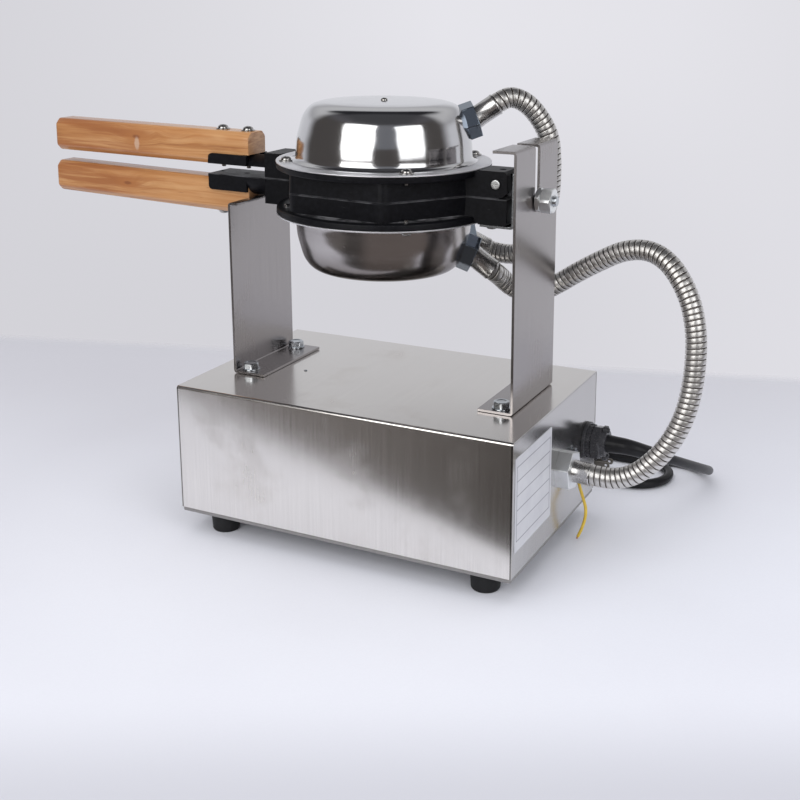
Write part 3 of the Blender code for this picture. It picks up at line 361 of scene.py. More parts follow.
def casting(name="black_coated_casting", wear_and_glint=True):
    """Cast aluminium under a black non-stick coat, fine grain and a few rubs, with painted highlights along the ledges
    and the parting line.
    """
    p = Paint(name, metal=0.0, specular=0.17)
    fine = p.noise(p.at, 1400.0, 3.0, 0.6)
    mid = p.noise(p.at, 260.0, 3.0, 0.6)
    rub = p.noise(p.scaled((90.0, 500.0, 700.0), rot=(10, 25, 20)), 1.0, 3.0, 0.6)
    mark = p.span(rub, 0.69, 0.76, 0.0, 0.5)
    tone = p.mix(p.span(mid, 0.35, 0.7), (0.0033, 0.0034, 0.0046), (0.0070, 0.0071, 0.0092))
    tone = p.mix(mark, tone, (0.055, 0.055, 0.058))
    if wear_and_glint:
        # painted highlights: light grey lines on the hexagon's flats by the flange and along the parting line, broken
        # up by noise
        x, y, z = p.parts()
        high = p.calc("MULTIPLY", p.calc("ABSOLUTE", z), 1000.0)
        x = p.calc("SUBTRACT", x, PAN_X * MM)
        far = p.calc("SQRT", p.calc("ADD", p.calc("MULTIPLY", x, x), p.calc("MULTIPLY", y, y)))
        ledge = p.span(p.calc("ABSOLUTE", p.calc("SUBTRACT", high, 17.5)), 0.30, 0.75, 1.0, 0.0)
        parting = p.span(high, 0.55, 1.15, 1.0, 0.0)
        glint_breakup = p.noise(p.scaled((55.0, 55.0, 300.0)), 1.0, 4.0, 0.65)
        ledge = p.calc("MULTIPLY", ledge, p.span(far, 0.0915, 0.0955, 1.0, 0.0))
        painted_glint = p.calc("MULTIPLY", p.calc("MAXIMUM", ledge, p.calc("MULTIPLY", parting, 0.45)), p.span(glint_breakup, 0.40, 0.60, 0.10, 0.9))
        tone = p.mix(painted_glint, tone, (0.21, 0.21, 0.22))
    p.set("color", tone)
    p.set("rough", p.calc("ADD", p.span(fine, 0.3, 0.7, 0.36, 0.46), p.calc("MULTIPLY", mark, 0.2)))
    p.set("normal", p.bump(fine, 0.00003, 0.8, under=p.bump(mid, 0.00008, 0.6)))
    return p.m


CAST = casting()
FACE = casting("black_cooking_face", False)


def wood(name, knots, shift, flecks=()):
    """Pale hardwood under clear varnish. The grain runs along X; knots are (x, y, z, size) in millimetres."""
    p = Paint(name, coat=0.60, coat_rough=0.20, specular=0.4)
    base = p.scaled((5.0, 60.0, 60.0), loc=(shift, shift * 3.1, shift * 1.7))
    warp = p.noise(base, 1.0, 2.0, 0.5)
    near = None
    for x, y, z, size in knots:
        q = p.node("ShaderNodeVectorMath", operation="SUBTRACT")
        p.plug(q.inputs[0], p.at)
        q.inputs[1].default_value = (x * MM, y * MM, z * MM)
        l = p.node("ShaderNodeVectorMath", operation="LENGTH")
        p.plug(l.inputs[0], p.scaled((0.36, 1.0, 1.0), of=q.outputs[0]))
        swell = p.span(l.outputs["Value"], 0.0, 0.0022 * (4 + size), 1.0, 0.0, smooth=True)
        near = swell if near is None else p.calc("MAXIMUM", near, swell)
    bent = p.node("ShaderNodeVectorMath", operation="MULTIPLY_ADD")
    ones = p.node("ShaderNodeCombineXYZ")
    p.plug(ones.inputs[2], p.calc("MULTIPLY", near, 1.6))
    bent.inputs[1].default_value = (1, 1, 1)
    p.plug(bent.inputs[0], p.scaled((6.0, 170.0, 170.0), loc=(shift * 2, 0, shift)))
    p.plug(bent.inputs[2], ones.outputs[0])
    lines = p.noise(bent.outputs[0], 1.0, 4.0, 0.60, 0.7)
    fibre = p.noise(p.scaled((40.0, 1500.0, 1500.0)), 1.0, 3.0, 0.6)
    patch = p.noise(p.scaled((18.0, 70.0, 70.0), loc=(0, shift, 0)), 1.0, 2.0, 0.5)
    tone = p.ramp(lines, (0.34, (0.31, 0.125, 0.040)), (0.45, (0.47, 0.225, 0.080)), (0.58, (0.59, 0.325, 0.138)), (0.72, (0.44, 0.205, 0.072)))
    tone = p.mix(p.span(warp, 0.35, 0.68, 0.0, 0.5, smooth=True), tone, (0.42, 0.17, 0.050))
    tone = p.mix(p.span(patch, 0.55, 0.75, 0.0, 0.4, smooth=True), tone, (0.63, 0.37, 0.17))
    tone = p.mix(p.span(fibre, 0.60, 0.78, 0.0, 0.25), tone, (0.33, 0.145, 0.05))
    # darker heartwood streaks towards the free end
    heart = p.noise(p.scaled((9.0, 120.0, 150.0), loc=(shift, 2.0, shift * 2)), 1.0, 3.0, 0.55)
    heart = p.calc("MULTIPLY", p.span(heart, 0.38, 0.58, 0.28, 0.92, smooth=True), p.span(p.parts()[0], -0.305, -0.235, 1.0, 0.10, smooth=True))
    tone = p.mix(heart, tone, (0.315, 0.112, 0.034))
    pores = p.noise(p.scaled((55.0, 900.0, 900.0), loc=(3.0, shift, 5.0)), 1.0, 1.0, 0.5)
    tone = p.mix(p.span(pores, 0.70, 0.77, 0.0, 0.35), tone, (0.22, 0.095, 0.033))
    for x, y, z, size in knots:
        q = p.node("ShaderNodeVectorMath", operation="SUBTRACT")
        p.plug(q.inputs[0], p.at)
        q.inputs[1].default_value = (x * MM, y * MM, z * MM)
        l = p.node("ShaderNodeVectorMath", operation="LENGTH")
        p.plug(l.inputs[0], p.scaled((0.42, 1.0, 1.0), of=q.outputs[0]))
        d = p.calc("ADD", l.outputs["Value"], p.calc("MULTIPLY", p.calc("SUBTRACT", patch, 0.5), 0.004))
        tone = p.mix(p.span(d, size * MM * 0.9, size * MM * 3.6, 0.60, 0.0, smooth=True), tone, (0.37, 0.14, 0.040))
        tone = p.mix(p.span(d, size * MM * 0.25, size * MM * 0.9, 0.75, 0.0, smooth=True), tone, (0.20, 0.065, 0.022))
    for x, z, half_x, half_z in flecks:
        q = p.node("ShaderNodeVectorMath", operation="SUBTRACT")
        p.plug(q.inputs[0], p.at)
        q.inputs[1].default_value = (x * MM, 0, z * MM)
        l = p.node("ShaderNodeVectorMath", operation="LENGTH")
        p.plug(l.inputs[0], p.scaled((1000.0 / half_x, 0.0, 1000.0 / half_z), of=q.outputs[0]))
        ragged = p.calc("ADD", l.outputs["Value"], p.calc("MULTIPLY", p.calc("SUBTRACT", fibre, 0.5), 0.9))
        tone = p.mix(p.span(ragged, 0.70, 1.25, 0.48, 0.0, smooth=True), tone, (0.60, 0.47, 0.37))
    # end grain is browner, with rings
    n = p.parts(p.coords.outputs["Normal"])
    end = p.span(p.calc("ABSOLUTE", n[0]), 0.75, 0.93, 0.0, 1.0, smooth=True)
    rings = p.noise(p.scaled((1.0, 60.0, 260.0), rot=(24, 0, 0)), 1.0, 3.0, 0.6, 0.6)
    ends = p.ramp(rings, (0.35, (0.36, 0.17, 0.075)), (0.62, (0.56, 0.32, 0.165)))
    p.set("color", p.mix(end, tone, ends))
    p.set("rough", p.calc("ADD", p.span(fibre, 0.3, 0.7, 0.32, 0.46), p.calc("MULTIPLY", end, 0.15)))
    p.set("normal", p.bump(fibre, 0.00005, 0.6, under=p.bump(lines, 0.00012, 0.5)))
    p.set("coat_normal", p.bump(lines, 0.00006, 0.5))
    return p.m


WOOD_UP = wood("varnished_wood_upper", [(-284.0, -15.4, 30.0, 3.0), (-237.0, -10.0, 33.0, 2.0)], 0.7, [(-283.0, 23.0, 3.0, 6.5)])
WOOD_LOW = wood("varnished_wood_lower", [(-297.5, -15.4, -19.0, 2.4), (-262.0, 2.0, -5.0, 3.0)], 4.3)


def plain(name, a, b, rough, grain=700.0, depth=0.00004, coat=0.0, coat_rough=0.1, big=90.0, spec=0.5, dust=None):
    """Rubber, plastic or paper: two close tones, a fine skin and a little dust."""
    p = Paint(name, coat=coat, coat_rough=coat_rough, specular=spec)
    fine, wide = p.noise(p.at, grain, 3.0, 0.6), p.noise(p.at, big, 3.0, 0.55)
    tone = p.mix(p.span(wide, 0.35, 0.68), a, b)
    if dust:
        tone = p.mix(p.span(p.noise(p.at, 320.0, 4.0, 0.7), 0.58, 0.76, 0.0, 0.35), tone, dust)
    p.set("color", tone)
    p.set("rough", p.span(fine, 0.3, 0.7, rough * 0.86, rough * 1.14))
    p.set("normal", p.bump(fine, depth))
    return p.m


RUBBER = plain("black_rubber", (0.006, 0.006, 0.0065), (0.011, 0.011, 0.012), 0.55, depth=0.00006, spec=0.3, dust=(0.035, 0.034, 0.033))
PLASTIC = plain("black_plastic", (0.034, 0.034, 0.038), (0.044, 0.044, 0.049), 0.26, depth=0.000006, spec=0.42, dust=(0.04, 0.04, 0.042))
SHEATH = plain("cord_sheath", (0.012, 0.012, 0.0135), (0.017, 0.017, 0.019), 0.36, depth=0.00001, coat=0.07, coat_rough=0.10, spec=0.16)
YELLOW = plain("yellow_wire", (0.66, 0.44, 0.045), (0.74, 0.52, 0.07), 0.40)
LENS = plain("red_lens", (0.42, 0.012, 0.010), (0.60, 0.022, 0.014), 0.10, coat=0.6, coat_rough=0.05, depth=0.00001)
SWITCHES = plain("switch_bodies", (0.16, 0.14, 0.11), (0.22, 0.19, 0.15), 0.5)
MARK = plain("white_marks", (0.72, 0.72, 0.70), (0.80, 0.80, 0.78), 0.5)


def label_paper():
    """A blank printed form on white film: a border and five ruled lines."""
    p = Paint("label_paper", rough=0.42, coat=0.15, coat_rough=0.25)
    x, y, z = p.parts()
    v = p.calc("MULTIPLY", z, 1000.0)
    u = p.calc("MULTIPLY", y, 1000.0)

    def line(c, at, half):
        return p.span(p.calc("ABSOLUTE", p.calc("SUBTRACT", c, at)), half, half + 0.25, 1.0, 0.0)

    ink = line(v, 47.5 + 9.5, 0.35)
    for k in range(5):
        ink = p.calc("MAXIMUM", ink, line(v, 72.0 + 13.2 * k, 0.32))
    ink = p.calc("MINIMUM", ink, p.span(p.calc("ABSOLUTE", p.calc("SUBTRACT", u, -61.0)), 40.0, 40.3, 1.0, 0.0))
    edge = p.calc("MAXIMUM", line(u, -101.0, 0.4), line(u, -21.0, 0.4))
    edge = p.calc("MINIMUM", edge, p.span(p.calc("ABSOLUTE", p.calc("SUBTRACT", v, 91.0)), 34.2, 34.5, 1.0, 0.0))
    wide = p.noise(p.at, 40.0, 3.0, 0.6)
    paper = p.mix(p.span(wide, 0.35, 0.7), (0.56, 0.565, 0.60), (0.63, 0.635, 0.66))
    p.set("color", p.mix(p.calc("MULTIPLY", p.calc("MAXIMUM", ink, edge), 0.8), paper, (0.16, 0.16, 0.20)))
    p.set("normal", p.bump(p.noise(p.at, 55.0, 2.0, 0.5), 0.0004, 0.6))
    return p.m


PAPER = label_paper()


def dial_face(name, first, last, count):
    """A printed scale: ticks round a knob, in the plate's own X, Y."""
    p = Paint(name, metal=0.6, rough=0.4)
    x, y, z = p.parts()
    rad = p.calc("MULTIPLY", p.calc("SQRT", p.calc("ADD", p.calc("MULTIPLY", x, x), p.calc("MULTIPLY", y, y))), 1000.0)
    ang = p.calc("MULTIPLY", p.calc("ARCTAN2", y, x), 180 / math.pi)
    step = 360.0 / count
    near = p.calc("ABSOLUTE", p.calc("SUBTRACT", p.calc("MODULO", p.calc("ADD", ang, 360.0 + step / 2), step), step / 2))
    band = p.calc("MINIMUM", p.span(rad, 22.6, 22.8), p.span(rad, 26.0, 26.2, 1.0, 0.0))
    tick = p.calc("MINIMUM", p.span(p.calc("MULTIPLY", near, rad), 14.0, 22.0, 1.0, 0.0), band)
    rim = p.calc("MINIMUM", p.span(rad, 27.6, 27.8), p.span(rad, 28.1, 28.3, 1.0, 0.0))
    n = p.noise(p.scaled((1200.0, 12.0, 12.0)), 1.0, 3.0, 0.6)
    tone = p.mix(p.span(n, 0.3, 0.7), (0.50, 0.50, 0.51), (0.60, 0.60, 0.61))
    p.set("color", p.mix(p.calc("MAXIMUM", tick, rim), tone, (0.02, 0.02, 0.02)))
    p.set("rough", p.span(n, 0.3, 0.7, 0.34, 0.46))
    return p.m


FACE_A = dial_face("thermostat_scale", 0, 270, 24)
FACE_B = dial_face("timer_scale", 0, 300, 30)


# =====================================================================  meshes
def mesh(name, verts, faces):
    me = bpy.data.meshes.new(name)
    me.from_pydata([(float(v[0]) * MM, float(v[1]) * MM, float(v[2]) * MM) for v in verts], [], faces)
    me.update()
    return me


def outward(me):
    bm = bmesh.new()
    bm.from_mesh(me)
    bmesh.ops.recalc_face_normals(bm, faces=bm.faces)
    bm.to_mesh(me)
    bm.free()
    return me


def rows_mesh(rows, closed=False, name="rows"):
    """Faces between rings of points. A ring of one point is a pole; an open ring of rings is capped."""
    verts, index = [], []
    for row in rows:
        index.append(range(len(verts), len(verts) + len(row)))
        verts += list(row)
    faces = []
    pairs = list(zip(index, index[1:])) + ([(index[-1], index[0])] if closed else [])
    for a, b in pairs:
        n = max(len(a), len(b))
        for k in range(n):
            j = (k + 1) % n
            if len(a) == 1:
                faces.append((a[0], b[k], b[j]))
            elif len(b) == 1:
                faces.append((a[j], a[k], b[0]))
            else:
                faces.append((a[k], b[k], b[j], a[j]))
    if not closed:
        for row in (index[0], index[-1]):
            if len(row) > 2:
                faces.append(tuple(row))
    return outward(mesh(name, verts, faces))


def lathe(profile, steps=96):
    """Turned about Z, from a profile of (r, z). Both ends off the axis make a ring."""
    rows = []
    for r, z in profile:
        if r < 1e-6:
            rows.append([(0.0, 0.0, z)])
        else:
            rows.append([(r * math.cos(2 * math.pi * k / steps), r * math.sin(2 * math.pi * k / steps), z) for k in range(steps)])
    closed = profile[0][0] > 1e-6 and profile[-1][0] > 1e-6
    return rows_mesh(rows, closed)


def corner(prev, p, nxt, r, seg):
    a, b = prev - p, nxt - p
    la, lb = a.length, b.length
    if r <= 0 or la < 1e-6 or lb < 1e-6:
        return [p]
    a, b = a / la, b / lb
    half = a.angle(b) / 2
    if half > math.radians(89):
        return [p]
    d = min(r / math.tan(half), 0.49 * la, 0.49 * lb)
    rr = d * math.tan(half)
    mid = p + (a + b).normalized() * (rr / math.sin(half))
    s, e = p + a * d - mid, p + b * d - mid
    a0, a1 = math.atan2(s.y, s.x), math.atan2(e.y, e.x)
    t = (a1 - a0 + math.pi) % (2 * math.pi) - math.pi
    return [mid + Vector((math.cos(a0 + t * k / seg), math.sin(a0 + t * k / seg))) * rr for k in range(seg + 1)]


def soft(points, radius, seg=4):
    """An open chain of corners, the inner ones rounded."""
    p = [Vector(q) for q in points]
    out = [p[0]]
    for i in range(1, len(p) - 1):
        r = radius[i - 1] if isinstance(radius, (list, tuple)) else radius
        out += corner(p[i - 1], p[i], p[i + 1], r, seg)
    out.append(p[-1])
    return [(q.x, q.y) for q in out]


def rounded(points, radius, seg=4):
    """A closed ring of corners, each rounded."""
    p = [Vector(q) for q in points]
    out = []
    for i in range(len(p)):
        r = radius[i] if isinstance(radius, (list, tuple)) else radius
        out += corner(p[i - 1], p[i], p[(i + 1) % len(p)], r, seg)
    return [(q.x, q.y) for q in out]


PLANES = {"xy": lambda u, v, w: (u, v, w), "xz": lambda u, v, w: (u, w, v), "yz": lambda u, v, w: (w, u, v)}


def prism(points, a, b, plane="xy"):
    f = PLANES[plane]
    n = len(points)
    verts = [f(u, v, a) for u, v in points] + [f(u, v, b) for u, v in points]
    faces = [tuple(range(n)), tuple(range(2 * n - 1, n - 1, -1))]
    faces += [(k, (k + 1) % n, n + (k + 1) % n, n + k) for k in range(n)]
    return outward(mesh("prism", verts, faces))


def box(lo, hi):
    return prism([(lo[0], lo[1]), (hi[0], lo[1]), (hi[0], hi[1]), (lo[0], hi[1])], lo[2], hi[2])


def cyl(r, z0, z1, seg=32, r2=None):
    return rows_mesh([[(q * math.cos(2 * math.pi * k / seg), q * math.sin(2 * math.pi * k / seg), z) for k in range(seg)] for q, z in ((r, z0), (r if r2 is None else r2, z1))])


def moved(me, matrix):
    """The mesh, moved by a matrix whose shifts are in millimetres."""
    m = matrix.copy()
    m.translation *= MM
    me.transform(m)
    if matrix.determinant() < 0:
        me.flip_normals()
    return me


def T(x, y, z):
    return Matrix.Translation((x, y, z))


def R(angle, axis):
    return Matrix.Rotation(math.radians(angle), 4, axis)


MIRROR_Z = Matrix.Scale(-1, 4, (0, 0, 1))


def baked(o):
    bpy.context.view_layer.update()
    return bpy.data.meshes.new_from_object(o.evaluated_get(bpy.context.evaluated_depsgraph_get()))


def boolean(me, *tools, op="DIFFERENCE"):
    for tool in tools:
        a, b = bpy.data.objects.new("a", me), bpy.data.objects.new("b", tool)
        for o in (a, b):
            scene.collection.objects.link(o)
        m = a.modifiers.new("boolean", "BOOLEAN")
        m.operation, m.object, m.solver = op, b, "EXACT"
        me = baked(a)
        bpy.data.objects.remove(a)
        bpy.data.objects.remove(b)
    return me


def joined(*meshes):
    """Several meshes in one, as they are."""
    bm = bmesh.new()
    for me in meshes:
        bm.from_mesh(me)
    out = bpy.data.meshes.new("joined")
    bm.to_mesh(out)
    bm.free()
    return out


def hex_rows(r, z0, z1, turn=0.0, low=True, high=True, per=8):
    """Rings of a hexagon whose ends are chamfered as a turned cone cuts them."""
    n, ap = 6 * per, r * math.cos(math.pi / 6)
    r0, k = ap * 0.95, 1.75
    cone = (r - r0) / k
    cuts = [0.0, 0.25, 0.5, 0.75, 1.0]
    zs = [z0 + cone * c for c in cuts] if low else [z0]
    zs += [z1 - cone * c for c in reversed(cuts)] if high else [z1]
    rows = []
    for z in zs:
        row = []
        for i in range(n):
            t = 2 * math.pi * i / n
            out = ap / math.cos((t - math.radians(turn)) % (math.pi / 3) - math.pi / 6)
            lim = min(r0 + k * (z - z0) if low else 1e9, r0 + k * (z1 - z) if high else 1e9)
            q = min(out, lim)
            row.append((q * math.cos(t), q * math.sin(t), z))
        rows.append(row)
    return rows


def ring_row(r, z, n):
    return [(r * math.cos(2 * math.pi * i / n), r * math.sin(2 * math.pi * i / n), z) for i in range(n)]


def hex_nut(r, z0, z1, bore, turn=0.0, low=True, high=True):
    rows = hex_rows(r, z0, z1, turn, low, high)
    n = len(rows[0])
    rows += [ring_row(bore + 0.7, z1, n), ring_row(bore, z1 - 0.7, n), ring_row(bore, z0 + 0.7, n), ring_row(bore + 0.7, z0, n)]
    return rows_mesh(rows, closed=True)


def hex_head(r, z0, z1, turn=0.0):
    """A bolt head, dished a little on top."""
    rows = hex_rows(r, z0, z1, turn, low=False)
    n = len(rows[0])
    rows += [ring_row(r * 0.60, z1 - 0.05, n), ring_row(r * 0.52, z1 - 0.45, n), [(0, 0, z1 - 0.5)]]
    rows = [[(0, 0, z0)]] + rows
    return rows_mesh(rows)


def thread(r, z0, z1, pitch=1.25, depth=0.62, steps=40):
    """A threaded rod: real helix ridges, its ends closed and chamfered."""
    n = int((z1 - z0) / pitch * 4)
    rows = [[(0, 0, z0)]]
    for j in range(n + 1):
        row = []
        for k in range(steps):
            z = z0 + (z1 - z0) * j / n
            ph = (z / pitch - k / steps) % 1.0
            q = r - depth * abs(2 * ph - 1)
            q = min(q, r - depth + (min(z - z0, z1 - z) * 0.9))
            row.append((q * math.cos(2 * math.pi * k / steps), q * math.sin(2 * math.pi * k / steps), z))
        rows.append(row)
    rows.append([(0, 0, z1)])
    return rows_mesh(rows)


def pan_screw(r, h, shank, depth, washer=None, steps=48, cross=0.62):
    """A domed screw head with a cross recess, on z = 0 and up, with its shank below and maybe a washer."""
    w = washer[1] if washer else 0.0
    top = [(0, h), (0.40 * r, h - 0.03 * (h - w)), (0.68 * r, h - 0.16 * (h - w)), (0.87 * r, h - 0.38 * (h - w)), (0.97 * r, h - 0.68 * (h - w)), (r, w + 0.12)]
    head = lathe(top + [(r - 0.15, w), (shank, w), (shank, -depth), (shank * 0.7, -depth - 0.6), (0, -depth - 0.6)], steps)
    arm, half, low = r * cross, r * 0.125, h - (h - w) * 0.62
    bars = []
    for a in (12, 102):
        pts = [(-arm, h + 1), (arm, h + 1), (arm * 0.96, h - 0.2), (arm * 0.35, low), (-arm * 0.35, low), (-arm * 0.96, h - 0.2)]
        bars.append(moved(prism(pts, -half, half, "xz"), R(a, "Z")))
    head = boolean(head, *bars)
    if washer:
        head = joined(head, lathe(soft([(shank + 0.1, 0), (washer[0], 0), (washer[0], w), (shank + 0.1, w)], 0.35, 3), steps))
    return head


def put(name, me, material, body, at=None, place=(0, 0, 0), rot=EYE4, nodes=(), smooth=35, bevel=0.0, seg=2, angle=30, normals=True):
    """A finished piece. at is its frame, and place and rot set it there."""
    me.name = name
    if normals:
        outward(me)
    me.materials.clear()
    me.materials.append(material)
    me.shade_smooth()
    me.set_sharp_from_angle(angle=math.radians(smooth))
    o = bpy.data.objects.new(name, me)
    scene.collection.objects.link(o)
    o.matrix_world = (at if at is not None else BASE) @ Matrix.Translation(Vector(place) * MM) @ rot
    if bevel:
        m = o.modifiers.new("bevel", "BEVEL")
        m.width, m.segments, m.limit_method, m.angle_limit = bevel * MM, seg, "ANGLE", math.radians(angle)
        m.use_clamp_overlap, m.harden_normals = True, False
        m.miter_outer = "MITER_ARC"
        w = o.modifiers.new("normals", "WEIGHTED_NORMAL")
        w.keep_sharp = True
    if body:
        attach(o, body)
    if nodes:
        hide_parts(*([nodes] if isinstance(nodes, str) else nodes))
    return o


# ---- routes
def smooth_route(points, step):
    """Points about one step apart on a smooth curve through the route's points."""
    p = [Vector(q) for q in points]
    p = [p[0] * 2 - p[1]] + p + [p[-1] * 2 - p[-2]]
    dense = []
    for i in range(1, len(p) - 2):
        p0, p1, p2, p3 = p[i - 1 : i + 3]
        t0, t1 = 0.0, (p1 - p0).length ** 0.5
        t2 = t1 + (p2 - p1).length ** 0.5
        t3 = t2 + (p3 - p2).length ** 0.5
        for k in range(24):
            t = t1 + (t2 - t1) * k / 24
            a1 = p0 * ((t1 - t) / (t1 - t0)) + p1 * ((t - t0) / (t1 - t0))
            a2 = p1 * ((t2 - t) / (t2 - t1)) + p2 * ((t - t1) / (t2 - t1))
            a3 = p2 * ((t3 - t) / (t3 - t2)) + p3 * ((t - t2) / (t3 - t2))
            b1 = a1 * ((t2 - t) / (t2 - t0)) + a2 * ((t - t0) / (t2 - t0))
            b2 = a2 * ((t3 - t) / (t3 - t1)) + a3 * ((t - t1) / (t3 - t1))
            dense.append(b1 * ((t2 - t) / (t2 - t1)) + b2 * ((t - t1) / (t2 - t1)))
    dense.append(p[-2])
    return even(dense, step)


def even(points, step):
    """The same line with its points an even step apart."""
    run = [0.0]
    for a, b in zip(points, points[1:]):
        run.append(run[-1] + (b - a).length)
    count = max(2, round(run[-1] / step))
    out, j = [], 0
    for k in range(count + 1):
        s = run[-1] * k / count
        while j < len(run) - 2 and run[j + 1] < s:
            j += 1
        f = (s - run[j]) / max(run[j + 1] - run[j], 1e-9)
        out.append(points[j].lerp(points[j + 1], min(max(f, 0), 1)))
    return out


def relaxed(points, times):
    """A line with its small kinks taken out; the ends stay."""
    p = np.array([tuple(q) for q in points])
    for _ in range(times):
        p[1:-1] = 0.25 * p[:-2] + 0.5 * p[1:-1] + 0.25 * p[2:]
    return [Vector(q) for q in p]


def carried(points):
    """Positions, and two directions across, carried along the line without twist."""
    p = np.array([tuple(q) for q in points])
    t = np.gradient(p, axis=0)
    t /= np.linalg.norm(t, axis=1)[:, None]
    n = np.cross(t[0], (0.0, 0.0, 1.0))
    if np.linalg.norm(n) < 0.1:
        n = np.cross(t[0], (0.0, 1.0, 0.0))
    n /= np.linalg.norm(n)
    ns = [n]
    for i in range(1, len(p)):
        n = ns[-1] - t[i] * (ns[-1] @ t[i])
        ns.append(n / np.linalg.norm(n))
    ns = np.array(ns)
    return p, ns, np.cross(t, ns)


def swept(points, radius, around=32, ends=True):
    """A tube along points; radius is a number for each point."""
    p, n, b = carried(points)
    rows = []
    for i in range(len(p)):
        r = radius[i] if hasattr(radius, "__len__") else radius
        rows.append([tuple(p[i] + r * (math.cos(2 * math.pi * k / around) * n[i] + math.sin(2 * math.pi * k / around) * b[i])) for k in range(around)])
    return rows_mesh(rows)


BAND = [(0.0, -1.25), (0.075, -1.25), (0.09, -0.28), (0.125, -0.06), (0.21, 0.0), (0.50, 0.02), (0.79, 0.0), (0.87, -0.06), (0.905, -0.28), (0.92, -1.25)]


def spiral(points, radius, pitch=5.0, around=32):
    """Strip-wound conduit: the grid follows the helix, so each groove is a true groove."""
    line = even(points, 1.0)
    p, n, b = carried(line)
    s_at = np.concatenate([[0.0], np.cumsum(np.linalg.norm(np.diff(p, axis=0), axis=1))])
    total = s_at[-1]
    rows = len(BAND)
    turns = int(total / pitch) + 3
    verts = []
    for j in range(turns * rows):
        turn_no, (ph, dr) = j // rows, BAND[j % rows]
        for k in range(around):
            s = (turn_no - 1.5 + ph) * pitch + pitch * k / around
            inside = 0.0 < s < total
            s = min(max(s, 0.0), total)
            r = radius + (dr if inside else -1.25)
            f = np.searchsorted(s_at, s) - 1
            f = min(max(f, 0), len(p) - 2)
            w = (s - s_at[f]) / (s_at[f + 1] - s_at[f])
            c = p[f] * (1 - w) + p[f + 1] * w
            nn = n[f] * (1 - w) + n[f + 1] * w
            bb = b[f] * (1 - w) + b[f + 1] * w
            a = 2 * math.pi * k / around
            verts.append(tuple(c + r * (math.cos(a) * nn + math.sin(a) * bb)))
    faces, deep = [], []
    last = turns * rows - 1
    for j in range(last):
        # the faces in and beside each groove, which take the painted-shade material
        low = j % rows in (0, 1, 8, 9)
        for k in range(around - 1):
            q = j * around + k
            faces.append((q, q + around, q + around + 1, q + 1))
            deep.append(low)
        if j + rows + 1 <= last:
            q = j * around + around - 1
            faces.append((q, q + around, (j + rows + 1) * around, (j + rows) * around))
            deep.append(low)
    me = mesh("spiral", verts, faces)
    me.attributes.new("groove", "INT", "FACE").data.foreach_set("value", [int(v) for v in deep])
    bm = bmesh.new()
    bm.from_mesh(me)
    bmesh.ops.remove_doubles(bm, verts=bm.verts, dist=2e-6)
    bmesh.ops.dissolve_degenerate(bm, dist=1e-7, edges=bm.edges)
    bmesh.ops.delete(bm, geom=[v for v in bm.verts if not v.link_faces], context="VERTS")
    bmesh.ops.holes_fill(bm, edges=[e for e in bm.edges if e.is_boundary], sides=0)
    bmesh.ops.recalc_face_normals(bm, faces=bm.faces)
    bm.to_mesh(me)
    bm.free()
    return me


def line_curve(name, points, radius, material, res=6):
    """A round cord as a curve through points, in the base's frame."""
    cu = bpy.data.curves.new(name, "CURVE")
    cu.dimensions = "3D"
    cu.bevel_depth = radius * MM
    cu.bevel_resolution = res
    cu.use_fill_caps = True
    cu.twist_mode = "MINIMUM"
    sp = cu.splines.new("POLY")
    sp.points.add(len(points) - 1)
    for q, v in zip(sp.points, points):
        q.co = (v[0] * MM, v[1] * MM, v[2] * MM, 1)
    sp.use_smooth = True
    cu.materials.append(material)
    o = bpy.data.objects.new(name, cu)
    scene.collection.objects.link(o)
    o.matrix_world = BASE.copy()
    return o


# =====================================================================  cords, first
GLAND = Vector((HX + GAP, 84.5, 85.5))
CORD_R = 4.9
CORD_Z = CORD_R + 0.2
HANK = Vector((102.0, 223.0, 0.0))
CORD_ROUTE = [
    (GLAND.x + 31.0, 84.5, 85.5),
    (211.0, 84.5, 85.5),
    (219.0, 86.6, 84.0),
    (228.0, 91.5, 80.7),
    (238.8, 103.0, 74.5),
    (247.3, 118.0, 66.7),
    (253.8, 136.0, 58.0),
    (258.8, 156.0, 48.6),
    (262.6, 177.0, 39.0),
    (264.6, 198.0, 29.6),
    (264.0, 219.0, 20.6),
    (259.5, 239.0, 12.4),
    (249.0, 255.0, 6.8),
    (232.0, 263.5, CORD_Z),
]


def arc(cx, cy, a0, a1, r0, r1=None, step=3.0):
    r1 = r0 if r1 is None else r1
    n = max(2, round(abs(math.radians(a1 - a0)) * (r0 + r1) / 2 / step))
    return [
        Vector((cx + (r0 + (r1 - r0) * k / n) * math.cos(math.radians(a0 + (a1 - a0) * k / n)), cy + (r0 + (r1 - r0) * k / n) * math.sin(math.radians(a0 + (a1 - a0) * k / n)), CORD_Z))
        for k in range(n + 1)
    ]


xa, xb, hy = HANK.x - 85.0, HANK.x + 85.0, HANK.y
R_OUT, R_IN = 39.3, 29.4
coil = [Vector((xb + 22.0, hy + 41.5, CORD_Z)), Vector((xb + 2.0, hy + R_OUT + 0.1, CORD_Z))]
coil += arc(xa, hy, 90, 270, R_OUT)
coil += arc(xb, hy, -90, 90, R_OUT, R_IN)
coil += arc(xa, hy, 90, 270, R_IN)
bend, lift = 39.0, math.acos(1 - R_IN / 78.0)
for k in range(1, 13):
    a = lift * k / 12
    coil.append(Vector((xa + bend * math.sin(a), hy - R_IN + bend * (1 - math.cos(a)), CORD_Z)))
for k in range(11, -1, -1):
    a = lift * k / 12
    coil.append(Vector((xa + 2 * bend * math.sin(lift) - bend * math.sin(a), hy - bend * (1 - math.cos(a)), CORD_Z)))
x_end = coil[-1].x
for k in range(1, 8):
    t = k / 7
    coil.append(Vector((x_end + (98.5 - x_end) * t, hy, CORD_Z + (7.2 - CORD_Z) * t * t * (3 - 2 * t))))
